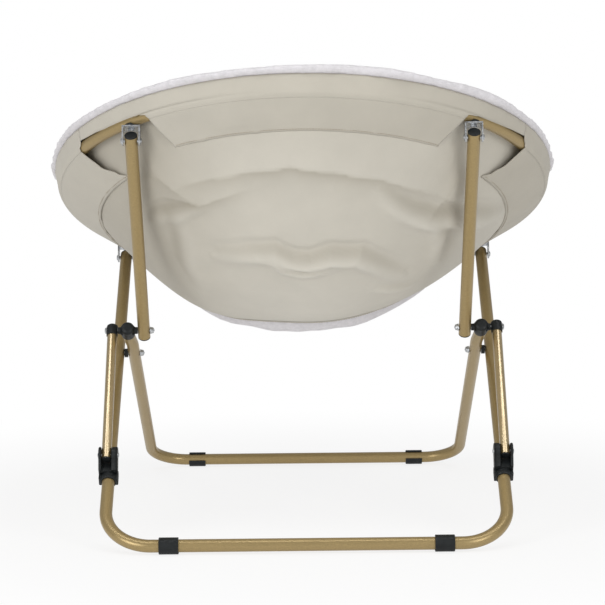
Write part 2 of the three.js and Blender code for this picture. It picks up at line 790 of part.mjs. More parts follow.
function indexedGeometry(positions, index) {
  const geometry = new THREE.BufferGeometry();
  geometry.setAttribute('position', new THREE.BufferAttribute(new Float32Array(positions), 3));
  geometry.setIndex(index);
  geometry.computeVertexNormals();
  return geometry;
}

// The canvas pan: over the ring, down into the bowl, with its front underside left open
function canvasPan() {
  const half = cloth_thickness / 2;
  const pan = discBody((angle) => {
    const rows = clothRows(angle);
    const lower = rows.map((row) => offsetRow(row, -half));
    const upper = rows.map((row) => offsetRow(row, half));
    lower[0][0] = 0;
    upper[0][0] = 0;
    return [...lower, ...upper.reverse()];
  }, ring_steps);
  const opening = new THREE.CylinderGeometry(hem_radius, hem_radius, 2 * pan_depth, ring_steps);
  opening.rotateX(Math.PI / 2);
  opening.translate(0, 0, -pan_depth);
  const front_half = new THREE.BoxGeometry(2 * ring_radius, 2 * ring_radius, 4 * pan_depth);
  front_half.translate(0, -hem_distance - ring_radius, -pan_depth);
  const cutter = geometryOf(solidOf(opening).intersect(solidOf(front_half)));
  return cut(pan, cutter);
}

// How far the pad's front underside hangs below the canvas
function bellyDrop(radius, angle) {
  const ahead = -radius * Math.cos(angle) - hem_distance;
  const inward = hem_radius - radius;
  return belly_drop * THREE.MathUtils.smoothstep(Math.min(ahead, inward) - belly_margin, 0, belly_blend);
}

// The padded plush seat: it lies on the canvas and rolls over the ring
function padBody() {
  const clear = cloth_thickness / 2 + seat_gap;
  return discBody((angle) => {
    const rows = clothRows(angle);
    const lower = rows.map((row) => {
      const [radius, height] = offsetRow(row, clear);
      return [radius, height - bellyDrop(row[0], angle)];
    });
    const rim = rim_shares.map(([out_share, up_share]) =>
      [ring_radius + rim_reach * out_share, seam_rise + (rim_top - seam_rise) * up_share]);
    rim.push([ring_radius - rim_crest_in, rim_top * crest_share]);
    const bowl = rows.slice(0, pan_rows_share.length - 1);
    const upper = bowl.map((row) => offsetRow(row, clear + pad_thickness));
    lower[0][0] = 0;
    upper[0][0] = 0;
    return [...lower, ...rim, ...upper.reverse()];
  }, ring_steps);
}

// A sleeve: from the edge seam, round the outside and bottom of the ring, to its seam on the pan
function sleeveRows() {
  const seat = cloth_thickness / 2 + cloth_slack + sleeve_thickness / 2;
  const sleeve_drop = tube_radius + seat_gap + sleeve_thickness / 2;
  const slope = Math.atan(panSlope(pan_radius));
  const seam_radius = pan_radius - sleeve_depth * Math.cos(slope);
  const seam_normal = Math.PI / 2 + Math.atan(panSlope(seam_radius));
  const top = [ring_radius + seam_reach, seam_rise, seam_angle];
  const foot = [seam_radius, panHeight(seam_radius), seam_normal];
  const round = sleeve_shares.map(({ out_share, rise_share, drop_share, facing }) =>
    [ring_radius + sleeve_side * out_share, over_ring_rise * rise_share - sleeve_drop * drop_share, facing]);
  return [[...offsetRow(top, -seat), seam_angle], ...round, [...offsetRow(foot, -seat), seam_normal]];
}

// Each sleeve's ends are drawn in towards its lower seam, the back end and the front end apart
function sleeveBody(from, to, draw_from, draw_to, steps) {
  const rows = sleeveRows();
  const half = sleeve_thickness / 2;
  const last = rows.length - 1;
  const faces = [-half, half].map((distance) => rows.map((row) => offsetRow(row, distance)));
  const positions = [];
  faces.forEach((face) => {
    for (let i = 0; i <= steps; i += 1) {
      face.forEach(([radius, height], k) => {
        const drawn = k / last;
        const start = from + draw_from * drawn;
        const end = to - draw_to * drawn;
        const angle = start + (end - start) * i / steps;
        positions.push(radius * Math.sin(angle), radius * Math.cos(angle), height);
      });
    }
  });
  const count = rows.length;
  const at = (face, i, k) => (face * (steps + 1) + i) * count + k;
  const index = [];
  const quad = (a, b, c, d) => index.push(a, b, c, a, c, d);
  for (let i = 0; i < steps; i += 1) {
    for (let k = 0; k < last; k += 1) {
      quad(at(0, i, k), at(0, i + 1, k), at(0, i + 1, k + 1), at(0, i, k + 1));
      quad(at(1, i, k), at(1, i, k + 1), at(1, i + 1, k + 1), at(1, i + 1, k));
    }
    quad(at(0, i, 0), at(1, i, 0), at(1, i + 1, 0), at(0, i + 1, 0));
    quad(at(0, i, last), at(0, i + 1, last), at(1, i + 1, last), at(1, i, last));
  }
  for (let k = 0; k < last; k += 1) {
    quad(at(0, 0, k), at(0, 0, k + 1), at(1, 0, k + 1), at(1, 0, k));
    quad(at(0, steps, k), at(1, steps, k), at(1, steps, k + 1), at(0, steps, k + 1));
  }
  return indexedGeometry(positions, index);
}

// Assembly
addPiece(rear_leg_frame, 'rear_leg_tube', rearLegTube(), gold());
addPiece(front_leg_frame, 'front_leg_tube', frontLegTube(), gold());
addPiece(ring_frame, 'seat_ring_tube', ringTube(), gold());

for (const [side, sign] of sides) {
  const rear_x = sign * rear_leg_offset;
  addPiece(rear_leg_frame, `leg_top_plug_${side}`, tubePlug(tube_diameter, tube_wall).rotateX(-Math.PI / 2),
    black(), rear_x, rear_leg_length + leg_top_run);
  addPiece(rear_leg_frame, `crossing_bolt_${side}`, onSide(crossingBolt(), sign), zinc(),
    0, crossing_distance);
  addPiece(rear_leg_frame, `crossing_spacer_${side}`, onSide(crossingSpacer(), sign), black(),
    0, crossing_distance);

  const pivot = front_leg_length + front_leg_rise;
  addPiece(front_leg_frame, `knuckle_cap_${side}`, onSide(knuckleCap(), sign), black(),
    sign * knuckle_offset, pivot);
  addPiece(front_leg_frame, `knuckle_bolt_${side}`, onSide(knuckleBolt(), sign), zinc(), 0, pivot);

  const post_x = sign * post_offset;
  const post_length = post_line.length();
  const post_foot_plug = tubePlug(tube_diameter, tube_wall).rotateX(Math.PI);
  addPiece(post_frame, `back_post_tube_${side}`, postTube(), gold(), post_x);
  addPiece(post_frame, `post_foot_plug_${side}`, post_foot_plug, black(), post_x, 0, -post_foot_run);
  addPiece(post_frame, `post_top_plug_${side}`, tubePlug(tube_diameter, tube_wall), black(),
    post_x, 0, post_length + post_top_run);
  addPiece(post_frame, `post_bolt_${side}`, onSide(postBolt(), sign), zinc());

  const strut_x = sign * strut_offset;
  const strut_length = strut_line.length();
  const strut_foot_plug = tubePlug(strut_diameter, strut_wall).rotateX(Math.PI);
  addPiece(strut_frame, `strut_tube_${side}`, strutTube(), gold(), strut_x);
  addPiece(strut_frame, `strut_foot_plug_${side}`, strut_foot_plug, black(), strut_x, 0, -strut_foot_run);
  addPiece(strut_frame, `strut_cap_${side}`, strutCap(), black(), strut_x, 0, strut_length);
  addPiece(strut_frame, `strut_bolt_${side}`, onSide(strutBolt(), sign), zinc(), 0, 0, strut_length);

  addPiece(rear_leg_frame, `slider_collar_${side}`, onSide(sliderBody(), sign), black(),
    rear_x, collar_distance);
  addPiece(rear_leg_frame, `slider_pin_${side}`, onSide(sliderPin(), sign), zinc(),
    strut_x, collar_distance + ear_reach, -ear_rise);

  for (const [place, x, y] of bracket_places) {
    addPiece(ring_frame, `seat_bracket_${place}_${side}`, seatBracket(), zinc(), sign * x, y);
    addPiece(ring_frame, `bracket_pin_${place}_${side}`, bracketPin(), zinc(), sign * x, y, -pivot_drop);
    addPiece(ring_frame, `ring_saddle_${place}_${side}`, ringSaddle(sign * x, y), black(), sign * x, y);
    addPiece(ring_frame, `ring_bolt_${place}_${side}`, ringBolt(), zinc(), sign * x, y);
  }

  const rear_foot = footClip(foot_mouth_rise + Math.PI);
  const front_foot = footClip(foot_mouth_rise);
  addPiece(rear_foot_frame, `foot_clip_rear_${side}`, rear_foot, black(), sign * rear_foot_offset);
  addPiece(front_foot_frame, `foot_clip_front_${side}`, front_foot, black(), sign * front_foot_offset);
}

addPiece(ring_frame, 'seat_canvas_pan', canvasPan(), canvas());
addPiece(ring_frame, 'seat_pad', padBody(), plush());

// Angles round the ring at which the sleeves leave the front brackets free
const bracket_angle = Math.PI - Math.asin(rear_leg_offset / ring_radius);
const slot_start = bracket_angle - front_slot_half;
const slot_end = bracket_angle + front_slot_half;
const sleeves = [
  ['rear', -rear_sleeve_half, rear_sleeve_half, rear_sleeve_draw, rear_sleeve_draw, rear_sleeve_steps],
  ['left', side_sleeve_rear, slot_start, -side_sleeve_draw, 0, side_sleeve_steps],
  ['right', -slot_start, -side_sleeve_rear, 0, -side_sleeve_draw, side_sleeve_steps],
  ['front', slot_end, 2 * Math.PI - slot_end, 0, 0, rear_sleeve_steps],
];
for (const [place, ...spread] of sleeves) {
  addPiece(ring_frame, `ring_sleeve_${place}`, sleeveBody(...spread), canvas());
}

// The origin lies under the middle of the chair's box, on the floor
chair.updateMatrixWorld(true);
const box = new THREE.Box3().setFromObject(chair, true);
chair.position.y = -(box.min.y + box.max.y) / 2;

export default chair;
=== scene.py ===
"""Folding saucer chair: finished surfaces on the packed frame, the padded cover, and a studio.

Every size is in metres, in the frame's own axes: +Z up, the front of the seat faces -Y and the
sitter's left is +X. The ring's own axes are X, back (towards the chair's back) and up.
"""

import json
import math

import bmesh
import bpy
from bpy.props import FloatProperty, FloatVectorProperty, IntProperty, PointerProperty
from bpy.types import Operator, Panel, PropertyGroup
from mathutils import Matrix, Vector, noise


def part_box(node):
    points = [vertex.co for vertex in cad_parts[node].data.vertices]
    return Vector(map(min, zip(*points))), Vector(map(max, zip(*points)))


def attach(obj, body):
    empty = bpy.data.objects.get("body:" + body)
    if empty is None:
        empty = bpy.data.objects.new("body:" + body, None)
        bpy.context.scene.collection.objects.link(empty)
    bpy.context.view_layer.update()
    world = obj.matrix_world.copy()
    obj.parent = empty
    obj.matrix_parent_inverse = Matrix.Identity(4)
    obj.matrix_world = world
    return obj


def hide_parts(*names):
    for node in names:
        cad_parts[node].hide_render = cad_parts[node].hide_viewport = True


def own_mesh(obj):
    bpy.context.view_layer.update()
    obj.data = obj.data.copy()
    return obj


bl_info = {
    "name": "Folding saucer chair",
    "version": (1, 0, 0),
    "blender": (4, 5, 0),
    "location": "3D View > Sidebar > Saucer chair",
    "description": "Builds the finished look of a folding saucer chair on its packed frame",
    "category": "Object",
}

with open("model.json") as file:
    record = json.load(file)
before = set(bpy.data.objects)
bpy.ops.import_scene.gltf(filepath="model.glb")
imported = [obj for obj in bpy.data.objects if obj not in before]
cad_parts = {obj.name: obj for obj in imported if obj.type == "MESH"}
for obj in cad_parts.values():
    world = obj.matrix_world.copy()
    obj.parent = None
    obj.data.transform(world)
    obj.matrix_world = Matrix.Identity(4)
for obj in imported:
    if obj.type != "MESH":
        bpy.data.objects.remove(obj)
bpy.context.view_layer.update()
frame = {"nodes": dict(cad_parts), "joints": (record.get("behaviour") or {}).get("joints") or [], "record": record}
SIDES = (("left", 1), ("right", -1))


# Places read from the packed frame


def middle(node):
    low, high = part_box(node)
    return (low + high) / 2


joints = {joint["name"]: joint for joint in frame["joints"]}
crossing = Vector(joints["leg_fold"]["pos_m"])
front_pivot = Vector(joints["seat_tilt"]["pos_m"])
rear_pivot = Vector(joints["post_fold_left"]["pos_m"])
strut_pivot = Vector(joints["strut_fold_left"]["pos_m"])
knuckle = middle("knuckle_bolt_left")
ring_centre = middle("seat_ring_tube")
for point in (crossing, front_pivot, rear_pivot, strut_pivot, knuckle, ring_centre):
    point.x = 0
RIGHTWARD = Vector((1, 0, 0))
rear_leg_up = (front_pivot - crossing).normalized()
front_leg_up = (knuckle - crossing).normalized()
ring_back = (rear_pivot - front_pivot).normalized()
ring_up = RIGHTWARD.cross(ring_back)
post_up = (rear_pivot - knuckle).normalized()
strut_up = (knuckle - strut_pivot).normalized()

# Small sizes that several pieces share
ROOM = 0.0003  # between a cap and its tube, and between a cap and the piece that turns beside it
CAP_OVER = 0.0033  # from a tube's end to the outside of its cap
EAR_ROOM = 0.0004  # between the collar and the tubes that it holds
CLOTH = 0.0014  # thickness of the canvas
STITCH = 0.0042  # from one stitch to the next
SIDE_FOOT, END_FOOT = 0.3165, 0.3275  # from the pan's middle to a sleeve's foot


# Sizes and colours that a user would change


def length(name, description, value):
    return FloatProperty(name=name, description=description, default=value, unit="LENGTH", precision=4)


def share(name, description, value):
    return FloatProperty(name=name, description=description, default=value, min=0, max=1, subtype="FACTOR")


def angle(name, description, degrees):
    return FloatProperty(name=name, description=description, default=math.radians(degrees), subtype="ANGLE")


def colour(name, description, value):
    return FloatVectorProperty(
        name=name, description=description, default=value, size=3, min=0, max=1, subtype="COLOR"
    )


class ChairTubes(PropertyGroup):
    """Sizes of the metal frame."""

    diameter: length("Tube diameter", "Outside of the leg, post and ring tubes", 0.019)
    wall: length("Tube wall", "Thickness of every tube's wall", 0.0012)
    strut_diameter: length("Strut diameter", "Outside of the sliding struts", 0.015)
    rear_offset: length("Rear leg offset", "Middle of the chair to a rear leg", 0.2975)
    front_offset: length("Front leg offset", "Middle of the chair to a front leg", 0.2725)
    knuckle_offset: length("Knuckle offset", "Middle of the chair to a front leg's top", 0.2763)
    post_offset: length("Post offset", "Middle of the chair to a back post", 0.251)
    strut_offset: length("Strut offset", "Middle of the chair to a strut", 0.3005)
    rear_bend: length("Rear bend", "Radius of the rear floor bar's bends", 0.07)
    front_bend: length("Front bend", "Radius of the front floor bar's bends", 0.062)
    bar_height: length("Bar height", "Floor to the middle of a floor bar", 0.012)
    jog_start: length("Jog start", "Crossing pivot to the start of the front leg's jog", 0.036)
    jog_end: length("Jog end", "Crossing pivot to the end of the front leg's jog", 0.07)
    jog_bend: length("Jog bend", "Radius of the jog's bends", 0.06)
    ring_radius: length("Ring radius", "Radius of the ring's centre line", 0.375)
    sides: IntProperty(name="Sides", description="Faces round a tube", default=40, min=12, max=96)


class ChairFittings(PropertyGroup):
    """Sizes of the plugs, caps, collars and feet."""

    leg_top_run: length("Leg top run", "Front bracket pivot to the rear leg's end", 0.007)
    post_top_run: length("Post top run", "Rear bracket pivot to the post's end", 0.008)
    post_foot_run: length("Post foot run", "Knuckle pivot to the post's lower end", 0.012)
    strut_run: length("Strut run", "Strut pivot to the strut's end", 0.006)
    knuckle_run: length("Knuckle run", "Knuckle pivot to the front leg's end", 0.009)
    knuckle_diameter: length("Knuckle diameter", "Outside of the knuckle cap", 0.0214)
    knuckle_length: length("Knuckle length", "Length of the knuckle cap", 0.025)
    neck_diameter: length("Neck diameter", "Necks on the knuckle cap", 0.011)
    cap_diameter: length("Strut cap diameter", "Outside of the strut's top cap", 0.0176)
    cap_length: length("Strut cap length", "Length of the strut's top cap", 0.019)
    collar_diameter: length("Collar diameter", "Outside of the sliding collar", 0.025)
    collar_length: length("Collar length", "Length of the sliding collar", 0.024)
    collar_distance: length("Collar distance", "Rear floor bar to the collar's middle", 0.1415)
    outer_ear: length("Outer ear", "Thickness of a collar's ear on the outer side", 0.0038)
    inner_ear: length("Inner ear", "Thickness of a collar's ear on the inner side", 0.0092)
    ear_radius: length("Ear radius", "Round end of a collar's ear", 0.0125)
    ear_reach: length("Ear reach", "Collar's middle to the strut pivot, up the leg", 0.022)
    ear_rise: length("Ear rise", "Rear leg's centre to the strut pivot", 0.024)
    foot_radius: length("Foot radius", "Outside of a foot clip", 0.0125)
    foot_length: length("Foot length", "Length of a foot clip", 0.029)
    foot_mouth: angle("Foot mouth", "Half of the opening in a foot clip", 36)
    foot_turn: angle("Foot turn", "How far a foot clip's mouth is turned up", 33)


class ChairCover(PropertyGroup):
    """Sizes of the padded cover."""

    pan_radius: length("Pan radius", "Where the canvas leaves the ring", 0.3663)
    pan_rise: length("Pan rise", "Canvas above the ring's plane at its edge", 0.0066)
    pan_depth: length("Pan depth", "Depth of the canvas bowl", 0.206)
    pan_power: FloatProperty(name="Pan curve", description="Curve of the bowl", default=2.2, min=1, max=6)
    over_ring: length("Over ring", "Canvas above the ring's centre", 0.015)
    seam_reach: length("Seam reach", "Edge seam out from the ring's centre", 0.014)
    seam_rise: length("Seam rise", "Edge seam above the ring's centre", 0.024)
    pad_thickness: length("Pad thickness", "Thickness of the padded seat", 0.027)
    rim_reach: length("Rim reach", "Plush rim out from the ring's centre", 0.0255)
    rim_top: length("Rim top", "Plush rim's crest above the ring's centre", 0.0362)
    hem_distance: length("Hem distance", "Middle of the pan to the canvas hem", 0.112)
    hem_curve: FloatProperty(
        name="Hem curve", description="How much the hem bends forward at its sides",
        default=1.25, min=0.1, max=3,
    )
    hem_radius: length("Hem radius", "Round part of the canvas hem", 0.3)
    belly_drop: length("Belly drop", "Plush below the canvas past the hem", 0.0215)
    crease: length("Crease height", "Height of the canvas's main creases", 0.0125)
    sag: length("Sag", "Extra depth of the bowl at the sitter's front left", 0.014)
    kept: share("Kept thickness", "Depth that the slack bowl keeps when the chair is folded", 0.38)


class ChairFinishes(PropertyGroup):
    """Colours of the finishes."""

    gold: colour("Frame gold", "Champagne gold metallic paint", (0.365, 0.266, 0.115))
    black: colour("Black plastic", "Plugs, caps, collars and feet", (0.008, 0.0098, 0.0104))
    zinc: colour("Zinc", "Brackets, bolts and rivets", (0.5, 0.515, 0.53))
    canvas: colour("Canvas", "Beige canvas", (0.54, 0.51, 0.442))
    plush: colour("Plush", "Plush pile", (0.70, 0.68, 0.70))
    thread: colour("Thread", "Seam thread", (0.42, 0.36, 0.28))


class ChairStudio(PropertyGroup):
    """Camera and lamps."""

    focal: FloatProperty(
        name="Focal length", description="Lens in pixels of a 605 pixel frame", default=2255.6
    )
    distance: length("Distance", "Rear floor bar to the camera", 3.2435)
    height: length("Height", "Camera above the floor", 0.6934)
    pitch: angle("Pitch", "How far the camera looks down", 5.74)
    roll: angle("Roll", "Camera's roll", 0.6)
    side: length("Side", "Camera's place across the chair", 0.0026)


def tubes():
    return bpy.context.scene.chair_tubes


def fittings():
    return bpy.context.scene.chair_fittings


def cover():
    return bpy.context.scene.chair_cover


def finishes():
    return bpy.context.scene.chair_finishes


# Mesh making


def piece(name, shape, slot, body, *stands_for, look="", crease=35):
    """Makes an object of a bmesh, smooth but for edges sharper than crease degrees. It has its slot's
    finish unless another look is named."""
    bmesh.ops.remove_doubles(shape, verts=shape.verts, dist=1e-6)
    bmesh.ops.recalc_face_normals(shape, faces=shape.faces)
    mesh = bpy.data.meshes.new(name)
    shape.to_mesh(mesh)
    shape.free()
    mesh.shade_smooth()
    mesh.set_sharp_from_angle(angle=math.radians(crease))
    made = bpy.data.objects.new(name, mesh)
    bpy.context.scene.collection.objects.link(made)
    mesh.materials.append(finish(look or slot))
    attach(made, body)
    if stands_for:
        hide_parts(*stands_for)
    return made


def loop(shape, points):
    return [shape.verts.new(point) for point in points]


def skin(shape, loops, closed=False, ends=True):
    """Faces between neighbouring loops of vertices; closed joins the last loop to the first."""
    count = len(loops[0])
    pairs = list(zip(loops, loops[1:] + loops[:1])) if closed else list(zip(loops, loops[1:]))
    for a, b in pairs:
        for i in range(count):
            j = (i + 1) % count
            shape.faces.new((a[i], a[j], b[j], b[i]))
    if ends and not closed:
        shape.faces.new(loops[0])
        shape.faces.new(loops[-1])


def strips(shape, lines):
    """Faces between neighbouring lines of vertices, open at both ends."""
    for a, b in zip(lines, lines[1:]):
        for k in range(len(a) - 1):
            shape.faces.new((a[k], a[k + 1], b[k + 1], b[k]))


def circle(centre, across, over, radius, sides):
    turn = 2 * math.pi / sides
    return [
        centre + across * (radius * math.cos(turn * i)) + over * (radius * math.sin(turn * i))
        for i in range(sides)
    ]


def rounded_path(corners, step=math.radians(4)):
    """Points along straight runs, with a bend of the given radius at each inner corner."""
    points = [corners[0][0]]
    for (before, _), (corner, radius), (after, _) in zip(corners, corners[1:], corners[2:]):
        arriving = (corner - before).normalized()
        leaving = (after - corner).normalized()
        turn = arriving.angle(leaving)
        axis = arriving.cross(leaving).normalized()
        start = corner - arriving * radius * math.tan(turn / 2)
        centre = start + axis.cross(arriving) * radius
        steps = max(3, round(turn / step))
        for i in range(steps + 1):
            spin = Matrix.Rotation(turn * i / steps, 3, axis)
            points.append(centre + spin @ (start - centre))
    points.append(corners[-1][0])
    return points


def tube(name, points, plane_normal, body, node, diameter=None, look="", closed=False):
    """A hollow gold tube along points that lie in one plane."""
    size = tubes()
    radius, last = (diameter or size.diameter) / 2, len(points) - 1
    shape = bmesh.new()
    outer, inner = [], []
    for i, point in enumerate(points):
        if closed:
            heading = points[(i + 1) % len(points)] - points[i - 1]
        elif 0 < i < last:
            heading = (point - points[i - 1]).normalized() + (points[i + 1] - point).normalized()
        else:
            heading = points[min(i + 1, last)] - points[max(i - 1, 0)]
        heading.normalize()
        across = heading.cross(plane_normal).normalized()
        for loops, reach in ((outer, radius), (inner, radius - size.wall)):
            loops.append(loop(shape, circle(point, across, plane_normal, reach, size.sides)))
    for loops in (outer, inner):
        skin(shape, loops, closed, ends=False)
    if not closed:
        for end in (0, -1):
            skin(shape, [outer[end], inner[end]], ends=False)
    piece(name, shape, "gold_tube", body, node, look=look)


def turned(shape, profile, origin, axis, sides=32):
    """A turned solid: profile is a list of (radius, distance along the axis), end to end."""
    axis = axis.normalized()
    across = axis.orthogonal().normalized()
    over = axis.cross(across)
    loops = []
    for radius, place in profile:
        loops.append(loop(shape, circle(origin + axis * place, across, over, max(radius, 1e-5), sides)))
    skin(shape, loops)


def softened(profile, amount, steps=4):
    """A turned profile whose inner corners are rounded."""
    points = [Vector((r, t)) for r, t in profile]
    made = [points[0]]
    for before, corner, after in zip(points, points[1:], points[2:]):
        to_before, to_after = before - corner, after - corner
        cut = min(amount, to_before.length * 0.45, to_after.length * 0.45)
        start = corner + to_before.normalized() * cut
        end = corner + to_after.normalized() * cut
        for i in range(steps + 1):
            t = i / steps
            made.append(start * (1 - t) ** 2 + corner * 2 * t * (1 - t) + end * t ** 2)
    made.append(points[-1])
    return [(point.x, point.y) for point in made]


def plate(shape, outline, origin, across, over, thickness, edge=0.0005):
    """A flat plate with rounded edges: outline is in (across, over), thickness is centred."""
    through = across.cross(over).normalized()
    rows = [(-0.5, edge), (-0.5 + edge / thickness, 0), (0.5 - edge / thickness, 0), (0.5, edge)]
    middle_2d = Vector((sum(p[0] for p in outline), sum(p[1] for p in outline))) / len(outline)
    loops = []
    for height, inset in rows:
        points = []
        for p in outline:
            flat = Vector(p)
            to_middle = middle_2d - flat
            if to_middle.length > 0:
                flat = flat + to_middle.normalized() * inset
            points.append(origin + across * flat.x + over * flat.y + through * (height * thickness))
        loops.append(loop(shape, points))
    skin(shape, loops)


def arc(centre, radius, start, end, steps=12):
    return [
        (
            centre[0] + radius * math.cos(start + (end - start) * i / steps),
            centre[1] + radius * math.sin(start + (end - start) * i / steps),
        )
        for i in range(steps + 1)
    ]


# Finishes


class Nodes:
    """A node tree whose nodes are added one by one."""

    def __init__(self, tree):
        self.nodes, self.links = tree.nodes, tree.links

    def add(self, kind, **values):
        node = self.nodes.new("ShaderNode" + kind)
        for name, value in values.items():
            if name in node.inputs:
                node.inputs[name].default_value = value
            else:
                setattr(node, name, value)
        return node

    def link(self, source, target):
        self.links.new(source, target)

    def spread(self, source, low, high, start=0.0, end=1.0, **kind):
        """Lays out a source's start to end from low to high."""
        limits = {"From Min": start, "From Max": end, "To Min": low, "To Max": high}
        node = self.add("MapRange", **limits, **kind)
        self.link(source, node.inputs["Value"])
        return node.outputs["Result"]

    def join(self, operation, first, second):
        """Two outputs, or an output and a number, as one."""
        node = self.add("Math", operation=operation)
        self.link(first, node.inputs[0])
        if isinstance(second, float):
            node.inputs[1].default_value = second
        else:
            self.link(second, node.inputs[1])
        return node.outputs["Value"]

    def surface(self, output, factor, first, second):
        """Ends the tree in two shaders mixed by a factor."""
        mix = self.add("MixShader")
        self.link(factor, mix.inputs["Fac"])
        self.link(first.outputs[0], mix.inputs[1])
        self.link(second.outputs[0], mix.inputs[2])
        self.link(mix.outputs[0], self.add(output).inputs["Surface"])


class Finish(Nodes):
    """A material on a principled shader."""

    def __init__(self, name, colour, roughness, metallic=0.0, **more):
        self.material = bpy.data.materials.new(name)
        self.material.use_nodes = True
        super().__init__(self.material.node_tree)
        self.shader = self.nodes["Principled BSDF"]
        self.colour = colour
        values = {"Metallic": metallic, "Roughness": roughness, "Base Color": (*colour, 1)}
        for key, value in (values | more).items():
            self.shader.inputs[key].default_value = value
        self.place = self.add("TexCoord").outputs["Object"]

    def texture(self, kind, place=None, **values):
        node = self.add("Tex" + kind, **values)
        self.link(place or self.place, node.inputs["Vector"])
        return node.outputs

    def noise(self, scale, detail=3.0, roughness=0.5):
        return self.texture("Noise", Scale=scale, Detail=detail, Roughness=roughness)["Fac"]

    def paint(self, source, dark, light):
        """Base colour that goes from dark to light times the finish's colour."""
        self.give("Base Color", self.tint(source, dark, light))

    def tint(self, source, dark, light):
        ramp = self.add("ValToRGB")
        for element, level, position in zip(ramp.color_ramp.elements, (dark, light), (0.3, 0.7)):
            element.color = (*[min(1, c * level) for c in self.colour], 1)
            element.position = position
        self.link(source, ramp.inputs["Fac"])
        return ramp.outputs["Color"]

    def give(self, name, output):
        self.link(output, self.shader.inputs[name])

    def patches(self, scale, low, high):
        """Roughness that varies in patches."""
        self.give("Roughness", self.spread(self.noise(scale), low, high, 0.3, 0.7))

    def bump(self, *layers):
        """Bump from layers of (height output, strength, distance)."""
        normal = None
        for height, strength, distance in layers:
            node = self.add("Bump", Strength=strength, Distance=distance)
            self.link(height, node.inputs["Height"])
            if normal:
                self.link(normal, node.inputs["Normal"])
            normal = node.outputs["Normal"]
        self.give("Normal", normal)

    def weave(self, pitch):
        """Height of a plain weave laid flat on the ring's plane."""
        mapping = self.add("Mapping", Rotation=(-math.atan2(ring_back.z, ring_back.y), 0, 0))
        self.link(self.place, mapping.inputs["Vector"])
        # A wave texture of scale 1 repeats every 0.314 m.
        values = {"Scale": 0.314 / pitch, "Distortion": 1.2, "Detail": 2.0, "Detail Scale": 0.4}
        threads = [
            self.texture("Wave", mapping.outputs["Vector"], bands_direction=direction, **values)["Fac"]
            for direction in ("X", "Y")
        ]
        return self.join("MAXIMUM", *threads)


def gold_paint():
    coat = {"Coat Weight": 0.35, "Coat Roughness": 0.28}
    made = Finish("champagne_gold_paint", finishes().gold, 0.38, 0.6, **coat)
    made.paint(made.noise(420, 2, 0.6), 0.9, 1.06)
    made.patches(9, 0.33, 0.42)
    made.bump((made.noise(2600, 2, 0.7), 0.02, 0.0001))
    return made.material


def gold_polish():
    """The struts' smoother, glossier gold."""
    coat = {"Coat Weight": 1.0, "Coat Roughness": 0.19, "Coat IOR": 1.9}
    made = Finish("champagne_gold_polish", finishes().gold, 0.28, 0.65, **coat)
    made.paint(made.noise(90, 2, 0.6), 1.06, 1.14)
    made.patches(9, 0.22, 0.27)
    return made.material


def black_plastic():
    made = Finish("black_plastic", finishes().black, 0.46, **{"Specular IOR Level": 0.3})
    made.paint(made.noise(60), 0.8, 1.5)
    made.patches(180, 0.36, 0.56)
    made.bump((made.noise(1500, 3, 0.6), 0.25, 0.0003))
    return made.material


def zinc_plate():
    made = Finish("zinc_plate", finishes().zinc, 0.28, 1.0)
    made.paint(made.texture("Voronoi", Scale=260)["Distance"], 0.86, 1.12)
    made.patches(300, 0.2, 0.4)
    made.bump((made.noise(900, 2), 0.1, 0.0003))
    return made.material


def beige_canvas():
    """Canvas whose colour takes the painted light and shade kept at each vertex."""
    sheen = {"Sheen Weight": 0.12, "Sheen Roughness": 0.5, "Specular IOR Level": 0.25}
    made = Finish("beige_canvas", finishes().canvas, 0.9, **sheen)
    threads = made.weave(0.0011)
    painted_shading = made.add("Attribute", attribute_name="painted_shading")
    # Painted light and shade scale the colour; the painted shade is a little browner
    level = made.add("VectorMath", operation="MULTIPLY_ADD")
    level.inputs[1].default_value = (1, 1.07, 1.2)  # dark places are a little browner
    level.inputs[2].default_value = (1, 1, 1)
    made.link(painted_shading.outputs["Fac"], level.inputs[0])
    shaded_colour = made.add("VectorMath", operation="MULTIPLY")
    made.link(made.tint(made.noise(16, 4, 0.6), 0.97, 1.03), shaded_colour.inputs[0])
    made.link(level.outputs["Vector"], shaded_colour.inputs[1])
    made.give("Base Color", shaded_colour.outputs["Vector"])
    made.give("Roughness", made.spread(threads, 0.96, 0.84))
    made.bump((made.noise(55, 4, 0.6), 0.25, 0.0015), (threads, 0.35, 0.0003))
    return made.material


def plush_pile():
    sheen = {"Sheen Weight": 0.25, "Sheen Roughness": 0.6, "Specular IOR Level": 0.1}
    made = Finish("plush_pile", finishes().plush, 0.95, **sheen)
    curls = made.texture("Voronoi", Scale=150)["Distance"]
    fibres = made.noise(900, 4, 0.75)
    made.paint(made.noise(120, 5, 0.7), 0.88, 1.06)
    made.bump((curls, 0.12, 0.002), (fibres, 0.35, 0.0008))
    return made.material


def seam_thread():
    made = Finish("seam_thread", finishes().thread, 0.8)
    twist = made.texture("Wave", Scale=700, Distortion=2.0)["Fac"]
    made.paint(twist, 0.8, 1.1)
    made.bump((twist, 0.3, 0.0002))
    return made.material


FINISH_MAKERS = {
    "gold_tube": gold_paint,
    "gold_strut": gold_polish,
    "black_plastic": black_plastic,
    "zinc": zinc_plate,
    "canvas": beige_canvas,
    "plush": plush_pile,
    "thread": seam_thread,
}
made_finishes = {}


def finish(kind):
    if kind not in made_finishes:
        made_finishes[kind] = FINISH_MAKERS[kind]()
    return made_finishes[kind]


# Frame pieces


def bar_middle(end):
    """Middle of the rear or the front floor bar."""
    point, up = (front_pivot, rear_leg_up) if end == "rear" else (crossing, front_leg_up)
    return point - up * ((point.z - tubes().bar_height) / up.z)


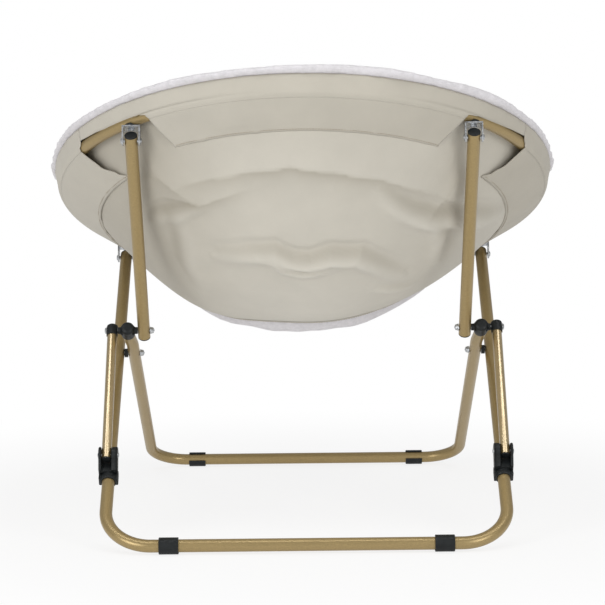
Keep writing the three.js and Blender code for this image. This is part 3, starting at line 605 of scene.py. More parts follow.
def make_rear_legs():
    size = tubes()
    top = front_pivot + rear_leg_up * fittings().leg_top_run
    bar = bar_middle("rear")
    out = RIGHTWARD * size.rear_offset
    path = rounded_path(
        [(top + out, 0), (bar + out, size.rear_bend), (bar - out, size.rear_bend), (top - out, 0)]
    )
    tube("rear_legs", path, RIGHTWARD.cross(rear_leg_up), "back_frame", "rear_leg_tube")


def make_front_legs():
    size = tubes()
    bar = bar_middle("front")
    top = knuckle + front_leg_up * fittings().knuckle_run
    out, jogged = RIGHTWARD * size.front_offset, RIGHTWARD * size.knuckle_offset
    start = crossing + front_leg_up * size.jog_start
    end = crossing + front_leg_up * size.jog_end
    half = [(top + jogged, 0), (end + jogged, size.jog_bend), (start + out, size.jog_bend),
            (bar + out, size.front_bend)]
    flip = Vector((-1, 1, 1))
    path = rounded_path(half + [(point * flip, radius) for point, radius in reversed(half)])
    tube("front_legs", path, RIGHTWARD.cross(front_leg_up), "front_frame", "front_leg_tube")


def make_ring():
    path = circle(ring_centre, RIGHTWARD, ring_back, tubes().ring_radius, 160)
    tube("seat_ring", path, ring_up, "seat", "seat_ring_tube", closed=True)


def make_straight_tubes():
    size, fit = tubes(), fittings()
    for side, sign in SIDES:
        out = RIGHTWARD * sign * size.post_offset
        ends = [knuckle - post_up * fit.post_foot_run + out, rear_pivot + post_up * fit.post_top_run + out]
        tube(f"back_post_{side}", ends, RIGHTWARD, f"back_post_{side}", f"back_post_tube_{side}")
        out = RIGHTWARD * sign * size.strut_offset
        ends = [strut_pivot - strut_up * fit.strut_run + out, knuckle + strut_up * fit.strut_run + out]
        tube(f"strut_{side}_tube", ends, RIGHTWARD, f"strut_{side}", f"strut_tube_{side}",
             size.strut_diameter, "gold_strut")


# Plugs, caps, collars and feet


def make_plugs():
    size, fit = tubes(), fittings()
    rows = (
        ("leg_plug_{}", "back_frame", "leg_top_plug_{}",
         front_pivot, rear_leg_up, fit.leg_top_run, size.rear_offset, size.diameter),
        ("post_top_{}_plug", "back_post_{}", "post_top_plug_{}",
         rear_pivot, post_up, fit.post_top_run, size.post_offset, size.diameter),
        ("post_foot_{}_plug", "back_post_{}", "post_foot_plug_{}",
         knuckle, -post_up, fit.post_foot_run, size.post_offset, size.diameter),
        ("strut_foot_{}_plug", "strut_{}", "strut_foot_plug_{}",
         strut_pivot, -strut_up, fit.strut_run, size.strut_offset, size.strut_diameter),
    )
    for side, sign in SIDES:
        for name, body, node, pivot, outward, run, offset, diameter in rows:
            radius = diameter / 2
            profile = [(radius * 0.8, -0.003), (radius * 0.8, 0.0001), (radius, 0.0001), (radius, 0.0017),
                       (radius * 0.94, 0.0023), (radius * 0.5, 0.0026), (0, 0.0027)]
            end = pivot + outward * run + RIGHTWARD * sign * offset
            shape = bmesh.new()
            turned(shape, softened(profile, 0.0003), end, outward, 40)
            piece(name.format(side), shape, "black_plastic", body.format(side), node.format(side))


def make_knuckles():
    """The caps on the front legs' tops, each with a neck to the strut and one to the post, and the
    caps on the struts' tops."""
    size, fit = tubes(), fittings()
    for side, sign in SIDES:
        centre = knuckle + RIGHTWARD * sign * size.knuckle_offset
        radius = fit.knuckle_diameter / 2
        bore = size.diameter / 2 + ROOM
        bottom, top = -fit.knuckle_length / 2, fit.knuckle_run + CAP_OVER
        profile = [(bore, bottom + 0.004), (bore, bottom), (radius, bottom), (radius, top - 0.004),
                   (radius - 0.0016, top - 0.0013), (radius - 0.005, top), (0, top)]
        shape = bmesh.new()
        turned(shape, softened(profile, 0.001), centre, front_leg_up, 44)
        outer = size.strut_offset - fit.cap_diameter / 2 - ROOM - size.knuckle_offset
        inner = size.post_offset + size.diameter / 2 + ROOM - size.knuckle_offset
        neck = fit.neck_diameter / 2
        for end, direction in ((outer, sign), (-inner, -sign)):
            if end > radius * 0.9:
                profile = [(neck * 1.5, radius * 0.86), (neck * 1.12, radius * 1.0), (neck, radius * 1.12),
                           (neck, end), (0, end)]
            else:
                profile = [(neck * 1.15, radius * 0.5), (neck * 1.15, end), (0, end)]
            turned(shape, softened(profile, 0.0006), centre, RIGHTWARD * direction, 32)
        piece(f"knuckle_{side}", shape, "black_plastic", "front_frame", f"knuckle_cap_{side}")

        centre = knuckle + RIGHTWARD * sign * size.strut_offset
        radius = fit.cap_diameter / 2
        bore = size.strut_diameter / 2 + ROOM
        top = fit.strut_run + CAP_OVER
        bottom = top - fit.cap_length
        profile = [(bore, bottom + 0.004), (bore, bottom), (radius, bottom), (radius, top - 0.0018),
                   (radius - 0.002, top), (0, top)]
        shape = bmesh.new()
        turned(shape, softened(profile, 0.0009), centre, strut_up, 40)
        piece(f"strut_top_{side}", shape, "black_plastic", f"strut_{side}", f"strut_cap_{side}")


def make_collars():
    """The sliding collars: a sleeve with a groove round it, a lobe on either side, and the ears that
    hold the strut, joined by a web."""
    size, fit = tubes(), fittings()
    away = RIGHTWARD.cross(rear_leg_up)
    radius, half = fit.collar_diameter / 2, fit.collar_length / 2
    bore, slot = size.diameter / 2 + EAR_ROOM, size.strut_diameter / 2 + EAR_ROOM
    round_edge, leg_side = 0.0009, 0.002
    sleeve = [(bore, half - 0.003), (bore, half), (radius - 0.0008, half), (radius, half - 0.0012),
              (radius, 0.002), (radius - 0.0007, 0.0012), (radius - 0.0007, -0.0012), (radius, -0.002),
              (radius, 0.0012 - half), (radius - 0.0008, -half), (bore, -half), (bore, 0.003 - half)]
    lobe = [(-0.0075, -0.01), (0.0075, -0.01)] + arc((0, 0.0025), 0.0075, 0, math.pi, 14)
    web = [(-0.002, 0.0102), (-0.002, 0.0136), (half, 0.0136), (0.0275, 0.0119), (0.0275, 0.0102)]
    on_leg = bar_middle("rear") + rear_leg_up * fit.collar_distance
    for side, sign in SIDES:
        centre = on_leg + RIGHTWARD * sign * size.rear_offset
        shape = bmesh.new()
        turned(shape, softened(sleeve, 0.0004), centre, rear_leg_up, 48)
        for hand in (1, -1):
            plate(shape, lobe, centre + RIGHTWARD * hand * 0.0122, away, rear_leg_up, 0.0046, round_edge)
        strut = centre + RIGHTWARD * (sign * (size.strut_offset - size.rear_offset))
        # The outer ear, the inner ear's thick upper part, and the thin flange below it
        for out, thickness, foot in (
            (slot + fit.outer_ear / 2, fit.outer_ear, leg_side),
            (-slot - fit.inner_ear / 2, fit.inner_ear, size.diameter / 2 - 0.0006),
            (-slot - fit.inner_ear + fit.outer_ear / 2, fit.outer_ear - 0.0004, leg_side),
        ):
            ear = [(-0.001, foot), (half, foot)]
            ear += arc((fit.ear_reach, fit.ear_rise), fit.ear_radius, -0.75, math.pi * 0.95, 20)
            ear += [(-0.001, size.diameter / 2 + 0.006)]
            plate(shape, ear, strut + RIGHTWARD * (sign * out), rear_leg_up, -away, thickness, round_edge)
        plate(shape, web, strut, rear_leg_up, -away, 2 * slot + 0.001, 0.0001)
        piece(f"collar_{side}", shape, "black_plastic", f"slider_{side}", f"slider_collar_{side}")


def make_rivets():
    """The rivets that hold the struts in the collars' ears."""
    size, fit = tubes(), fittings()
    slot = size.strut_diameter / 2 + 0.0005
    outer, inner = slot + fit.outer_ear, -slot - fit.inner_ear
    profile = [(0, inner - 0.0019), (0.0022, inner - 0.0017), (0.004, inner - 0.0008), (0.0042, inner),
               (0.0025, inner), (0.0025, outer), (0.0042, outer), (0.004, outer + 0.0008),
               (0.0022, outer + 0.0017), (0, outer + 0.0019)]
    for side, sign in SIDES:
        node = f"slider_pin_{side}"
        shape = bmesh.new()
        turned(shape, profile, middle(node), RIGHTWARD * sign, 28)
        piece(f"rivet_{side}", shape, "zinc", f"slider_{side}", node, crease=50)


def make_feet():
    """The foot clips: open rings round the floor bars, flat where they stand on the floor."""
    size, fit = tubes(), fittings()
    up = Vector((0, 0, 1))
    steps, soft = 48, 0.0006
    bore, half = size.diameter / 2 + 0.00035, fit.foot_length / 2
    start = fit.foot_turn + fit.foot_mouth
    sweep = 2 * math.pi - 2 * fit.foot_mouth
    outer_line, inner_line = [], []
    for i in range(steps + 1):
        turn = start + sweep * i / steps
        lip = soft * (1 - min(1, min(i, steps - i) / 2) ** 2)
        outer, inner = fit.foot_radius - lip, bore + lip
        outer_line.append((outer * math.cos(turn), max(outer * math.sin(turn), -size.bar_height)))
        inner_line.append((inner * math.cos(turn), inner * math.sin(turn)))
    for end, inward, body in (("rear", -1, "back_frame"), ("front", 1, "front_frame")):
        bar, back = bar_middle(end), Vector((0, inward, 0))
        for side, _ in SIDES:
            node = f"foot_clip_{end}_{side}"
            centre = Vector((middle(node).x, bar.y, bar.z))
            shape = bmesh.new()
            loops = []
            for place, inset in ((-half, soft), (-half + soft, 0), (half - soft, 0), (half, soft)):
                base = centre + RIGHTWARD * place
                less, more = 1 - inset / fit.foot_radius, 1 + inset / bore
                points = [base + back * (x * less) + up * max(z * less, -size.bar_height)
                          for x, z in outer_line]
                points += [base + back * (x * more) + up * (z * more) for x, z in reversed(inner_line)]
                loops.append(loop(shape, points))
            skin(shape, loops)
            piece(f"foot_{end}_{side}", shape, "black_plastic", body, node)


def dress_fasteners():
    """Gives the frame's own small pieces their finishes."""
    slots = {row["node"]: row["material_slot"] for row in frame["record"]["subparts"]}
    for name, node in frame["nodes"].items():
        if node.hide_render:
            continue
        node.data.materials.clear()
        node.data.materials.append(finish(slots[name]))


# The cover, in the ring's axes. Angles run round the ring from its back, + to the sitter's left.


def from_ring(x, y, z):
    return ring_centre + RIGHTWARD * x + ring_back * y + ring_up * z


def ring_place(point):
    away = point - ring_centre
    return away.x, away.dot(ring_back), away.dot(ring_up)


def smooth_step(value, start, end):
    t = min(1, max(0, (value - start) / (end - start)))
    return t * t * (3 - 2 * t)


def pan_height(radius):
    size = cover()
    return size.pan_rise - size.pan_depth * (1 - (radius / size.pan_radius) ** size.pan_power)


def pan_slope(radius):
    size = cover()
    edge_slope = size.pan_depth * size.pan_power / size.pan_radius
    return edge_slope * (radius / size.pan_radius) ** (size.pan_power - 1)


# Pulled creases in the canvas: their line in (x, back), kind, height as a share of the main one,
# and width. A fold stands up and falls away on the bowl's side; a tuck is pressed in, with a roll below.
CREASES = [
    ([(0.182, 0.23), (0.136, 0.257), (0.081, 0.28), (0.018, 0.295), (-0.047, 0.286), (-0.113, 0.262),
      (-0.173, 0.221), (-0.2, 0.196)], "fold", 1.0, 0.017),
    ([(0.21, 0.19), (0.179, 0.208), (0.153, 0.218), (0.122, 0.235), (0.088, 0.252)], "fold", 0.65, 0.012),
    ([(0.232, 0.135), (0.22, 0.154), (0.176, 0.2), (0.15, 0.222)], "tuck", 0.6, 0.01),
    ([(-0.12, 0.242), (-0.155, 0.204), (-0.194, 0.167), (-0.246, 0.126), (-0.307, 0.045)],
     "tuck", 1.0, 0.013),
    ([(-0.2, 0.15), (-0.217, 0.102), (-0.21, 0.05)], "tuck", 0.5, 0.011),
    ([(0.125, 0.138), (0.077, 0.157), (0.043, 0.164), (0.018, 0.151), (-0.01, 0.149), (-0.04, 0.16),
      (-0.085, 0.15), (-0.115, 0.117), (-0.15, 0.07)], "tuck", 1.1, 0.013),
    ([(0.044, 0.15), (0.026, 0.13), (0.0, 0.124), (-0.045, 0.134)], "tuck", 0.55, 0.009),
    ([(-0.11, 0.047), (-0.14, 0.024), (-0.17, 0.0)], "tuck", 0.4, 0.009),
    ([(0.198, 0.18), (0.189, 0.134), (0.186, 0.074), (0.165, 0.015)], "tuck", 0.6, 0.018),
    ([(0.245, 0.2), (0.216, 0.221), (0.182, 0.218), (0.16, 0.214)], "fold", 0.45, 0.012),
    ([(-0.24, 0.21), (-0.213, 0.175), (-0.19, 0.165)], "fold", 0.45, 0.012),
]
CREASE_WIDTHS = 6  # how many of its widths a crease reaches to either side


def nearest(line, x, y):
    """The nearest place on a line: its distance, whether it is passed on the inside (+) or on the
    outside (-), and its share of the way along."""
    lengths = [math.dist(a, b) for a, b in zip(line, line[1:])]
    best, run = (math.inf, 0.0, 0.0), 0.0
    for (ax, ay), (bx, by), part in zip(line, line[1:], lengths):
        ux, uy = (bx - ax) / part, (by - ay) / part
        t = min(part, max(0.0, (x - ax) * ux + (y - ay) * uy))
        dx, dy = x - ax - ux * t, y - ay - uy * t
        away = math.hypot(dx, dy)
        if away < best[0]:
            best = (away, -(dx * x + dy * y), (run + t) / sum(lengths))
        run += part
    return best


def crease_form(x, y):
    """At a place in the ring's axes: how far the canvas stands out, away from the seat, and how much painted light
    (+) or painted shade (-) its colour takes there: painted shade along each crease, with a little painted light
    beside it."""
    total = painted_shading = 0.0
    for line, kind, share_high, width in CREASES:
        away, inward, place = nearest(line, x, y)
        if away > width * CREASE_WIDTHS:
            continue
        s = math.copysign(away, inward) / width
        ends = math.sin(math.pi * min(1, max(0, place * 0.9 + 0.05))) ** 0.7
        if kind == "fold":
            rounded = math.sqrt(s * s + 0.05)
            high = math.exp(-rounded * (1.0 if s > 0 else 0.55)) * 1.25
            # Painted shade where the fold falls away into the bowl, with a thin line of it along the crest's outer
            # side
            if s > 0:
                light = -0.24 * math.exp(-s / 0.8)
            else:
                light = 0.04 * math.exp(s / 0.8) - 0.24 * math.exp(s / 0.07)
        else:
            high = math.exp(-(s - 0.75) ** 2 / 1.3) - 0.6 * math.exp(-(s + 0.7) ** 2 / 0.5)
            # Painted light on the roll below the tuck, and painted shade in the tuck's line
            light = 0.1 * math.exp(-(s - 0.9) ** 2 / 0.35) - 0.2 * math.exp(-(s + 0.25) ** 2 / 0.22)
        total += share_high * ends * high
        painted_shading += min(1, share_high) * ends * light
    return total * cover().crease, painted_shading


def canvas_painted_shading(x, y):
    """Share of painted light (+) and painted shade (-) on the canvas: the creases' painted shade and light,
    painted light at the bottom of the bowl, a faint painted light patch towards the back, and painted shade
    towards the sitter's left."""
    # Painted light at the bottom of the bowl
    painted_bottom_light = 0.18 * math.exp(-(x * x * 0.7 + (y + 0.03) ** 2) / 0.02)
    # A faint painted light patch towards the back, and painted shade towards the sitter's left
    flat = 0.04 * math.exp(-((x - 0.02) ** 2 + (y - 0.2) ** 2) / 0.015) - 0.15 * smooth_step(x, 0.08, 0.24)
    return crease_form(x, y)[1] + painted_bottom_light + flat


def keep_painted_shading(obj, painted_shading_at):
    """Store the painted light and shade at each vertex, where the cloth's material finds it."""
    shading_values = obj.data.attributes.new("painted_shading", "FLOAT", "POINT")
    for vertex, held in zip(obj.data.vertices, shading_values.data):
        x, y, _ = ring_place(vertex.co)
        held.value = painted_shading_at(x, y)


def pucker(angle, seed, count):
    """Uneven gathers round the ring, from about -1 to 1."""
    at = Vector((math.cos(angle) * count / 6.3, math.sin(angle) * count / 6.3, seed))
    return max(-1, min(1, noise.noise(at) * 1.9))


def canvas_lift(radius, angle):
    """How far the canvas's middle lies off its plain bowl, + into the seat."""
    x, y = radius * math.sin(angle), radius * math.cos(angle)
    beside = 45 < abs(math.degrees(math.remainder(angle, 2 * math.pi))) < 130
    seam = SIDE_FOOT if beside else END_FOOT
    near_seam = math.exp(-((radius - seam) / 0.016) ** 2)
    soft = 0.0035 * noise.noise(Vector((x * 8, y * 8, 3)))
    fade = smooth_step(seam + 0.004 - radius, 0, 0.012)
    return -crease_form(x, y)[0] * fade + soft + 0.0011 * near_seam * pucker(angle, 2.0, 90) * fade


def sag(radius, angle):
    """The bowl hangs lower at the sitter's front left."""
    x, y = radius * math.sin(angle) - 0.165, radius * math.cos(angle) + 0.1
    return cover().sag * math.exp(-(x * x + y * y) / 0.0085)


def pan_row(radius, angle, lifted=True):
    height = pan_height(radius) - sag(radius, angle)
    if lifted:
        height += canvas_lift(radius, angle)
    return radius, height, math.pi / 2 + math.atan(pan_slope(radius))


def seam_row():
    """The edge seam, where canvas, pad and sleeves are sewn together."""
    return tubes().ring_radius + cover().seam_reach, cover().seam_rise, math.radians(126)


def edge_rows():
    """The canvas from the pan's edge over the ring to the edge seam."""
    size, ring = cover(), tubes().ring_radius
    turn = math.radians(135)
    corners = [
        pan_row(size.pan_radius, 0, False),
        (ring + size.over_ring * math.cos(turn), size.over_ring * math.sin(turn), turn),
        (ring, size.over_ring, math.pi / 2),
        seam_row(),
    ]
    return through(corners, 5)


def through(corners, steps):
    """Points of a smooth line through corners, each with its facing eased too."""
    rows = []
    for i in range(len(corners) - 1):
        a, b = Vector(corners[i]), Vector(corners[i + 1])
        before = Vector(corners[i - 1]) if i else a + (a - b)
        after = Vector(corners[i + 2]) if i + 2 < len(corners) else b + (b - a)
        for k in range(steps):
            t = k / steps
            rows.append(
                0.5 * (2 * a + (b - before) * t + (2 * before - 5 * a + 4 * b - after) * t * t
                       + (3 * a - before - 3 * b + after) * t ** 3)
            )
    rows.append(Vector(corners[-1]))
    return [tuple(row) for row in rows]


def shifted(row, distance):
    radius, height, facing = row
    return radius + math.cos(facing) * distance, height + math.sin(facing) * distance


def around(angle, radius, height):
    return from_ring(radius * math.sin(angle), radius * math.cos(angle), height)


def off_row(angle, row, distance=0):
    """A row's place at an angle round the ring, moved along the way that the row faces."""
    return around(angle, *shifted(row, distance))


def hem_line(x):
    """How far ahead of the pan's middle the hem runs, at a distance across."""
    size = cover()
    return size.hem_distance + size.hem_curve * x * x


def hem_edge():
    """Angle from the front at which the canvas's bent hem meets its round part."""
    size = cover()
    bend = size.hem_curve * size.hem_radius ** 2
    free = size.hem_distance + bend
    return math.acos((-size.hem_radius + math.sqrt(size.hem_radius ** 2 + 4 * bend * free)) / (2 * bend))


def hem_reach(from_front):
    """Distance from the pan's middle to the bent hem."""
    size = cover()
    bend = size.hem_curve * math.sin(from_front) ** 2
    ahead = math.cos(from_front)
    if bend < 1e-4:
        return size.hem_distance / ahead
    return (ahead - math.sqrt(ahead ** 2 - 4 * bend * size.hem_distance)) / (2 * bend)


def sheet_thickness(obj):
    added = obj.modifiers.new("thickness", "SOLIDIFY")
    added.thickness = CLOTH
    added.offset = 0
    added.use_even_offset = False


def make_canvas():
    """The canvas under the seat, open across the front, with a stitched hem."""
    size = cover()
    corner = hem_edge()
    steps, inner_rows, outer_rows = 400, 84, 12
    turns = sorted({2 * math.pi * i / steps for i in range(steps)} | {math.pi - corner, math.pi + corner})
    edge = edge_rows()[1:]
    shape = bmesh.new()
    columns, hem = [], []
    for turn in turns:
        from_front = abs(turn - math.pi)
        open_here = from_front < corner - 1e-6
        inner_end = size.hem_radius
        if open_here:
            inner_end = hem_reach(from_front) + 0.004 * pucker(turn, 7.0, 60)
            hem.append((turn, inner_end))
        inner = []
        for k in range(1, inner_rows + 1):
            row = pan_row(inner_end * (k / inner_rows) ** 0.9, turn)
            inner.append(shape.verts.new(off_row(turn, row)))
        outer = [] if open_here else [inner[-1]]
        for k in range(len(outer), outer_rows + 1):
            row = pan_row(size.hem_radius + (size.pan_radius - size.hem_radius) * k / outer_rows, turn)
            outer.append(shape.verts.new(off_row(turn, row)))
        outer += [shape.verts.new(off_row(turn, row)) for row in edge]
        columns.append((inner, outer))
    centre = shape.verts.new(around(0, 0, pan_row(0.0001, 0)[1]))
    for i, (inner, outer) in enumerate(columns):
        next_inner, next_outer = columns[(i + 1) % len(columns)]
        shape.faces.new((centre, inner[0], next_inner[0]))
        strips(shape, (inner, next_inner))
        strips(shape, (outer, next_outer))
    made = piece("canvas_underside", shape, "canvas", "seat", "seat_canvas_pan", crease=180)
    # The canvas takes painted shade along its creases and painted light at the bowl's bottom
    keep_painted_shading(made, canvas_painted_shading)
    sheet_thickness(made)

    # The hem: a narrow band under the open edge, as (share of its width in, distance off the canvas)
    section = ((0, 0.0002), (0, -0.0019), (0.1, -0.0022), (0.9, -0.0022), (1, -0.0011))
    width = 0.012
    strip = bmesh.new()
    lines, line = [], []
    for turn, radius in hem:
        slant = max(0.5, abs(math.cos(turn)))
        lines.append([strip.verts.new(off_row(turn, pan_row(radius - width * share_in / slant, turn), out))
                      for share_in, out in section])
        line.append(off_row(turn, pan_row(radius - width * 0.8 / slant, turn), -0.0024))
    strips(strip, lines)
    band = piece("canvas_hem", strip, "canvas", "seat", crease=50)
    thread = stitches("hem_thread", [line])
    for soft in (made, band, thread):
        go_slack(soft)


def flatten(obj):
    """Gives the object a mesh of its own."""
    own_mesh(obj)


def go_slack(obj):
    """Gives the slack bowl's piece a mesh of its own."""
    flatten(obj)


def lift_skirt(obj):
    """Gives a sleeve's skirt a mesh of its own."""
    flatten(obj)


def stitches(name, lines, radius=0.00045):
    """Thread along lines: a short raised stitch, then a gap."""
    shape = bmesh.new()
    for line in lines:
        lengths = [0.0]
        for a, b in zip(line, line[1:]):
            lengths.append(lengths[-1] + (b - a).length)

        def at(distance):
            for i in range(1, len(lengths)):
                if distance <= lengths[i]:
                    part = (distance - lengths[i - 1]) / max(1e-9, lengths[i] - lengths[i - 1])
                    return line[i - 1].lerp(line[i], part)
            return line[-1]

        for i in range(int(lengths[-1] / STITCH)):
            a, b = at(STITCH * (i + 0.12)), at(STITCH * (i + 0.88))
            heading = (b - a).normalized()
            across = heading.orthogonal().normalized()
            over = heading.cross(across)
            skin(shape, [
                loop(shape, circle(a.lerp(b, share_along), across, over, radius * wide, 5))
                for share_along, wide in ((0, 0.35), (0.2, 1), (0.8, 1), (1, 0.35))
            ])
    return piece(name, shape, "canvas", "seat", look="thread")


# Shares of a sleeve's way down where it meets the tube and leaves it
MEETS_TUBE, LEAVES_TUBE = 0.25, 0.6


def sleeve_rows(foot):
    """A sleeve pulled taut from the edge seam round the ring to its foot on the pan, as (row, share
    of the way down)."""
    ring, close = tubes().ring_radius, tubes().diameter / 2 + CLOTH
    facing = math.pi / 2 + math.atan(pan_slope(foot))
    top = shifted(seam_row(), -0.0018)
    low = shifted((foot, pan_height(foot), facing), -0.0016)
    touching = []
    for point, side in ((top, -1), (low, 1)):
        x, y = point[0] - ring, point[1]
        touching.append(math.atan2(y, x) + side * math.acos(close / math.hypot(x, y)))
    start, end = touching
    if end > start:
        end -= 2 * math.pi
    on_tube = []
    for i in range(11):
        turn = start + (end - start) * i / 10
        on_tube.append((ring + close * math.cos(turn), close * math.sin(turn), turn + math.pi))
    first, last = on_tube[0], on_tube[-1]
    leaving = last[2] % (2 * math.pi)
    rows = []
    for k in range(8):
        t = k / 8
        rows.append(((top[0] + (first[0] - top[0]) * t, top[1] + (first[1] - top[1]) * t,
                      start + math.pi), MEETS_TUBE * t))
    rows += [(row, MEETS_TUBE + (LEAVES_TUBE - MEETS_TUBE) * i / 10) for i, row in enumerate(on_tube)]
    for k in range(1, 19):
        t = k / 18
        rows.append(((last[0] + (low[0] - last[0]) * t, last[1] + (low[1] - last[1]) * t,
                      leaving + (facing - leaving) * t * t), LEAVES_TUBE + (1 - LEAVES_TUBE) * t))
    return rows


# Each sleeve: its two ends as (share of the way down, degrees round the ring), and its foot's
# distance from the pan's middle. Above the ring the ends meet over the brackets.
SLEEVES = {
    "rear": (
        ((0, -59.6), (0.2, -59.6), (0.25, -42.0), (0.36, -39.0), (0.6, -38.6), (1, -37.0)),
        ((0, 59.6), (0.2, 59.6), (0.25, 38.0), (0.36, 36.4), (0.6, 35.9), (1, 34.6)),
        END_FOOT,
    ),
    "left": (
        ((0, 59.7), (0.2, 59.7), (0.27, 60.0), (0.4, 60.8), (0.62, 61.2), (0.8, 60.6), (0.92, 57.6),
         (1, 54.4)),
        ((0, 127.7), (0.2, 127.7), (0.27, 121.4), (1, 120.8)),
        SIDE_FOOT,
    ),
    "right": (
        ((0, -127.7), (0.2, -127.7), (0.27, -121.4), (1, -120.8)),
        ((0, -59.7), (0.2, -59.7), (0.27, -60.0), (0.4, -60.6), (0.62, -61.6), (0.8, -61.6),
         (0.92, -60.0), (1, -57.6)),
        SIDE_FOOT,
    ),
    "front": (
        ((0, 127.9), (0.2, 127.9), (0.27, 134.0), (1, 134.4)),
        ((0, 232.1), (0.2, 232.1), (0.27, 226.0), (1, 225.6)),
        END_FOOT,
    ),
}


def end_angle(places, share_down):
    for (a, before), (b, after) in zip(places, places[1:]):
        if share_down <= b:
            return math.radians(before + (after - before) * smooth_step(share_down, a, b))
    return math.radians(places[-1][1])


def sleeve_turn(start, end, down, i, steps):
    """Angle of a sleeve's i-th column at a share of the way down."""
    first, final = end_angle(start, down), end_angle(end, down)
    return first + (final - first) * i / steps


def gathers(turn, down):
    """How far a sleeve's cloth stands off: by the edge seam, at its foot and on its skirt."""
    by_seam = 0.0012 * math.exp(-(down / 0.12) ** 2) * pucker(turn, 1.0, 150)
    at_foot = 0.0009 * math.exp(-((1 - down) / 0.1) ** 2) * pucker(turn, 5.0, 110)
    on_skirt = 0.0022 * smooth_step(down, 0.6, 0.8) * (1 - smooth_step(down, 0.85, 1))
    return max(0.0, by_seam + at_foot + on_skirt * pucker(turn, 9.0, 36))


def sleeve_painted_shading(x, y):
    """Painted shade on the sleeves: a little darker than the canvas, more so on the sitter's right."""
    return -0.08 + 0.14 * x


def make_sleeves():
    """Each sleeve is a band round the ring, and a skirt from there to its foot."""
    for name, (start, end, foot) in SLEEVES.items():
        rows = sleeve_rows(foot)
        wide = end[0][1] - start[0][1]
        steps = int(wide * 1.5)
        lines = []
        for i in range(steps + 1):
            line = []
            for row, down in rows:
                turn = sleeve_turn(start, end, down, i, steps)
                line.append(off_row(turn, row, -gathers(turn, down)))
            lines.append(line)
        leaves = next(k for k, (_, down) in enumerate(rows) if down > LEAVES_TUBE - 1e-6)
        parts = []
        for part, top, low, stands_for in (("", 0, leaves, [f"ring_sleeve_{name}"]),
                                           ("_skirt", leaves, len(rows) - 1, [])):
            shape = bmesh.new()
            strips(shape, [[shape.verts.new(point) for point in line[top:low + 1]] for line in lines])
            made = piece(f"sleeve_{name}{part}", shape, "canvas", "seat", *stands_for, crease=180)
            # The sleeves take painted shade
            keep_painted_shading(made, sleeve_painted_shading)
            sheet_thickness(made)
            parts.append(made)
        band, skirt = parts
        lift_skirt(skirt)


def make_seam_threads():
    """Stitching along the edge seam and the sleeves' feet."""
    reach, rise, _ = seam_row()
    feet = []
    for start, end, foot in SLEEVES.values():
        row, down = sleeve_rows(foot)[-2]
        feet.append([off_row(sleeve_turn(start, end, down, i, 60), row, -0.0012) for i in range(61)])
    lift_skirt(stitches("sleeve_thread", feet))
    edge = [around(2 * math.pi * i / 240, reach + 0.0012, rise - 0.0012) for i in range(241)]
    stitches("edge_thread", [edge])


# The pad's outside edge: shares of its reach, and of its height from the seam to the crest
RIM = [(0.56, 0.02), (0.74, 0.03), (0.9, 0.12), (0.985, 0.32), (0.96, 0.56), (0.82, 0.8), (0.55, 0.95),
       (0.2, 1.0), (-0.15, 1.0)]

# Uneven places on the rim: degrees round the ring, half width in degrees, extra height and reach
RIM_BUMPS = [(-14, 9, 0.004, 0.0), (-42, 8, 0.0055, 0.002), (29, 8, 0.002, 0.0), (-95, 22, 0.0, -0.004),
             (112, 14, 0.0, -0.003), (62, 6, 0.0, 0.0025), (84, 7, 0.0, 0.002)]


def rim_bump(turn):
    high = out = 0.0
    for place, half, up, wide in RIM_BUMPS:
        away = math.degrees(math.remainder(turn - math.radians(place), 2 * math.pi)) / half
        high += up * math.exp(-away * away)
        out += wide * math.exp(-away * away)
    return high, out


def belly_drop(radius, turn):
    size = cover()
    x, ahead = radius * math.sin(turn), -radius * math.cos(turn)
    room = min(ahead - hem_line(x), (size.hem_radius - radius) * 1.2)
    return size.belly_drop * math.sqrt(smooth_step(room, 0.003, 0.034)) * (1 + 0.12 * pucker(turn, 4.0, 26))


def make_pad():
    """The padded seat: built close to its shape, then filled by a cloth simulation."""
    size, ring = cover(), tubes().ring_radius
    steps, low_rows, top_rows = 150, 44, 20
    clear = 0.0026
    edge = edge_rows()[1:]
    shape = bmesh.new()
    columns = []
    for i in range(steps):
        turn = 2 * math.pi * i / steps
        column = []
        for k in range(1, low_rows + 1):
            row = pan_row(size.pan_radius * k / low_rows, turn, False)
            radius, height = shifted(row, clear)
            column.append((radius, height - belly_drop(row[0], turn)))
        column += [shifted(row, clear * 0.7) for row in edge]
        wave = 1 + 0.13 * pucker(turn, 3.0, 36)
        high, out = rim_bump(turn)
        for out_share, up_share in RIM:
            column.append((ring + (size.rim_reach + out) * out_share * (wave if out_share > 0.6 else 1),
                           size.seam_rise + (size.rim_top + high - size.seam_rise) * up_share))
        column.append((ring - 0.018, size.rim_top * 0.93))
        for k in range(top_rows, 0, -1):
            row = pan_row(size.pan_radius * 0.93 * k / top_rows, turn, False)
            column.append(shifted(row, clear + size.pad_thickness))
        columns.append([shape.verts.new(around(turn, r, z)) for r, z in column])
    bottom = shape.verts.new(around(0, 0, pan_height(0) + clear))
    top = shape.verts.new(around(0, 0, pan_height(0) + clear + size.pad_thickness))
    for i, a in enumerate(columns):
        b = columns[(i + 1) % steps]
        shape.faces.new((bottom, a[0], b[0]))
        shape.faces.new((top, b[-1], a[-1]))
        for k in range(len(a) - 1):
            shape.faces.new((a[k], b[k], b[k + 1], a[k + 1]))
    made = piece("padded_seat", shape, "plush", "seat", "seat_pad", crease=180)
    fill(made)
    go_slack(made)


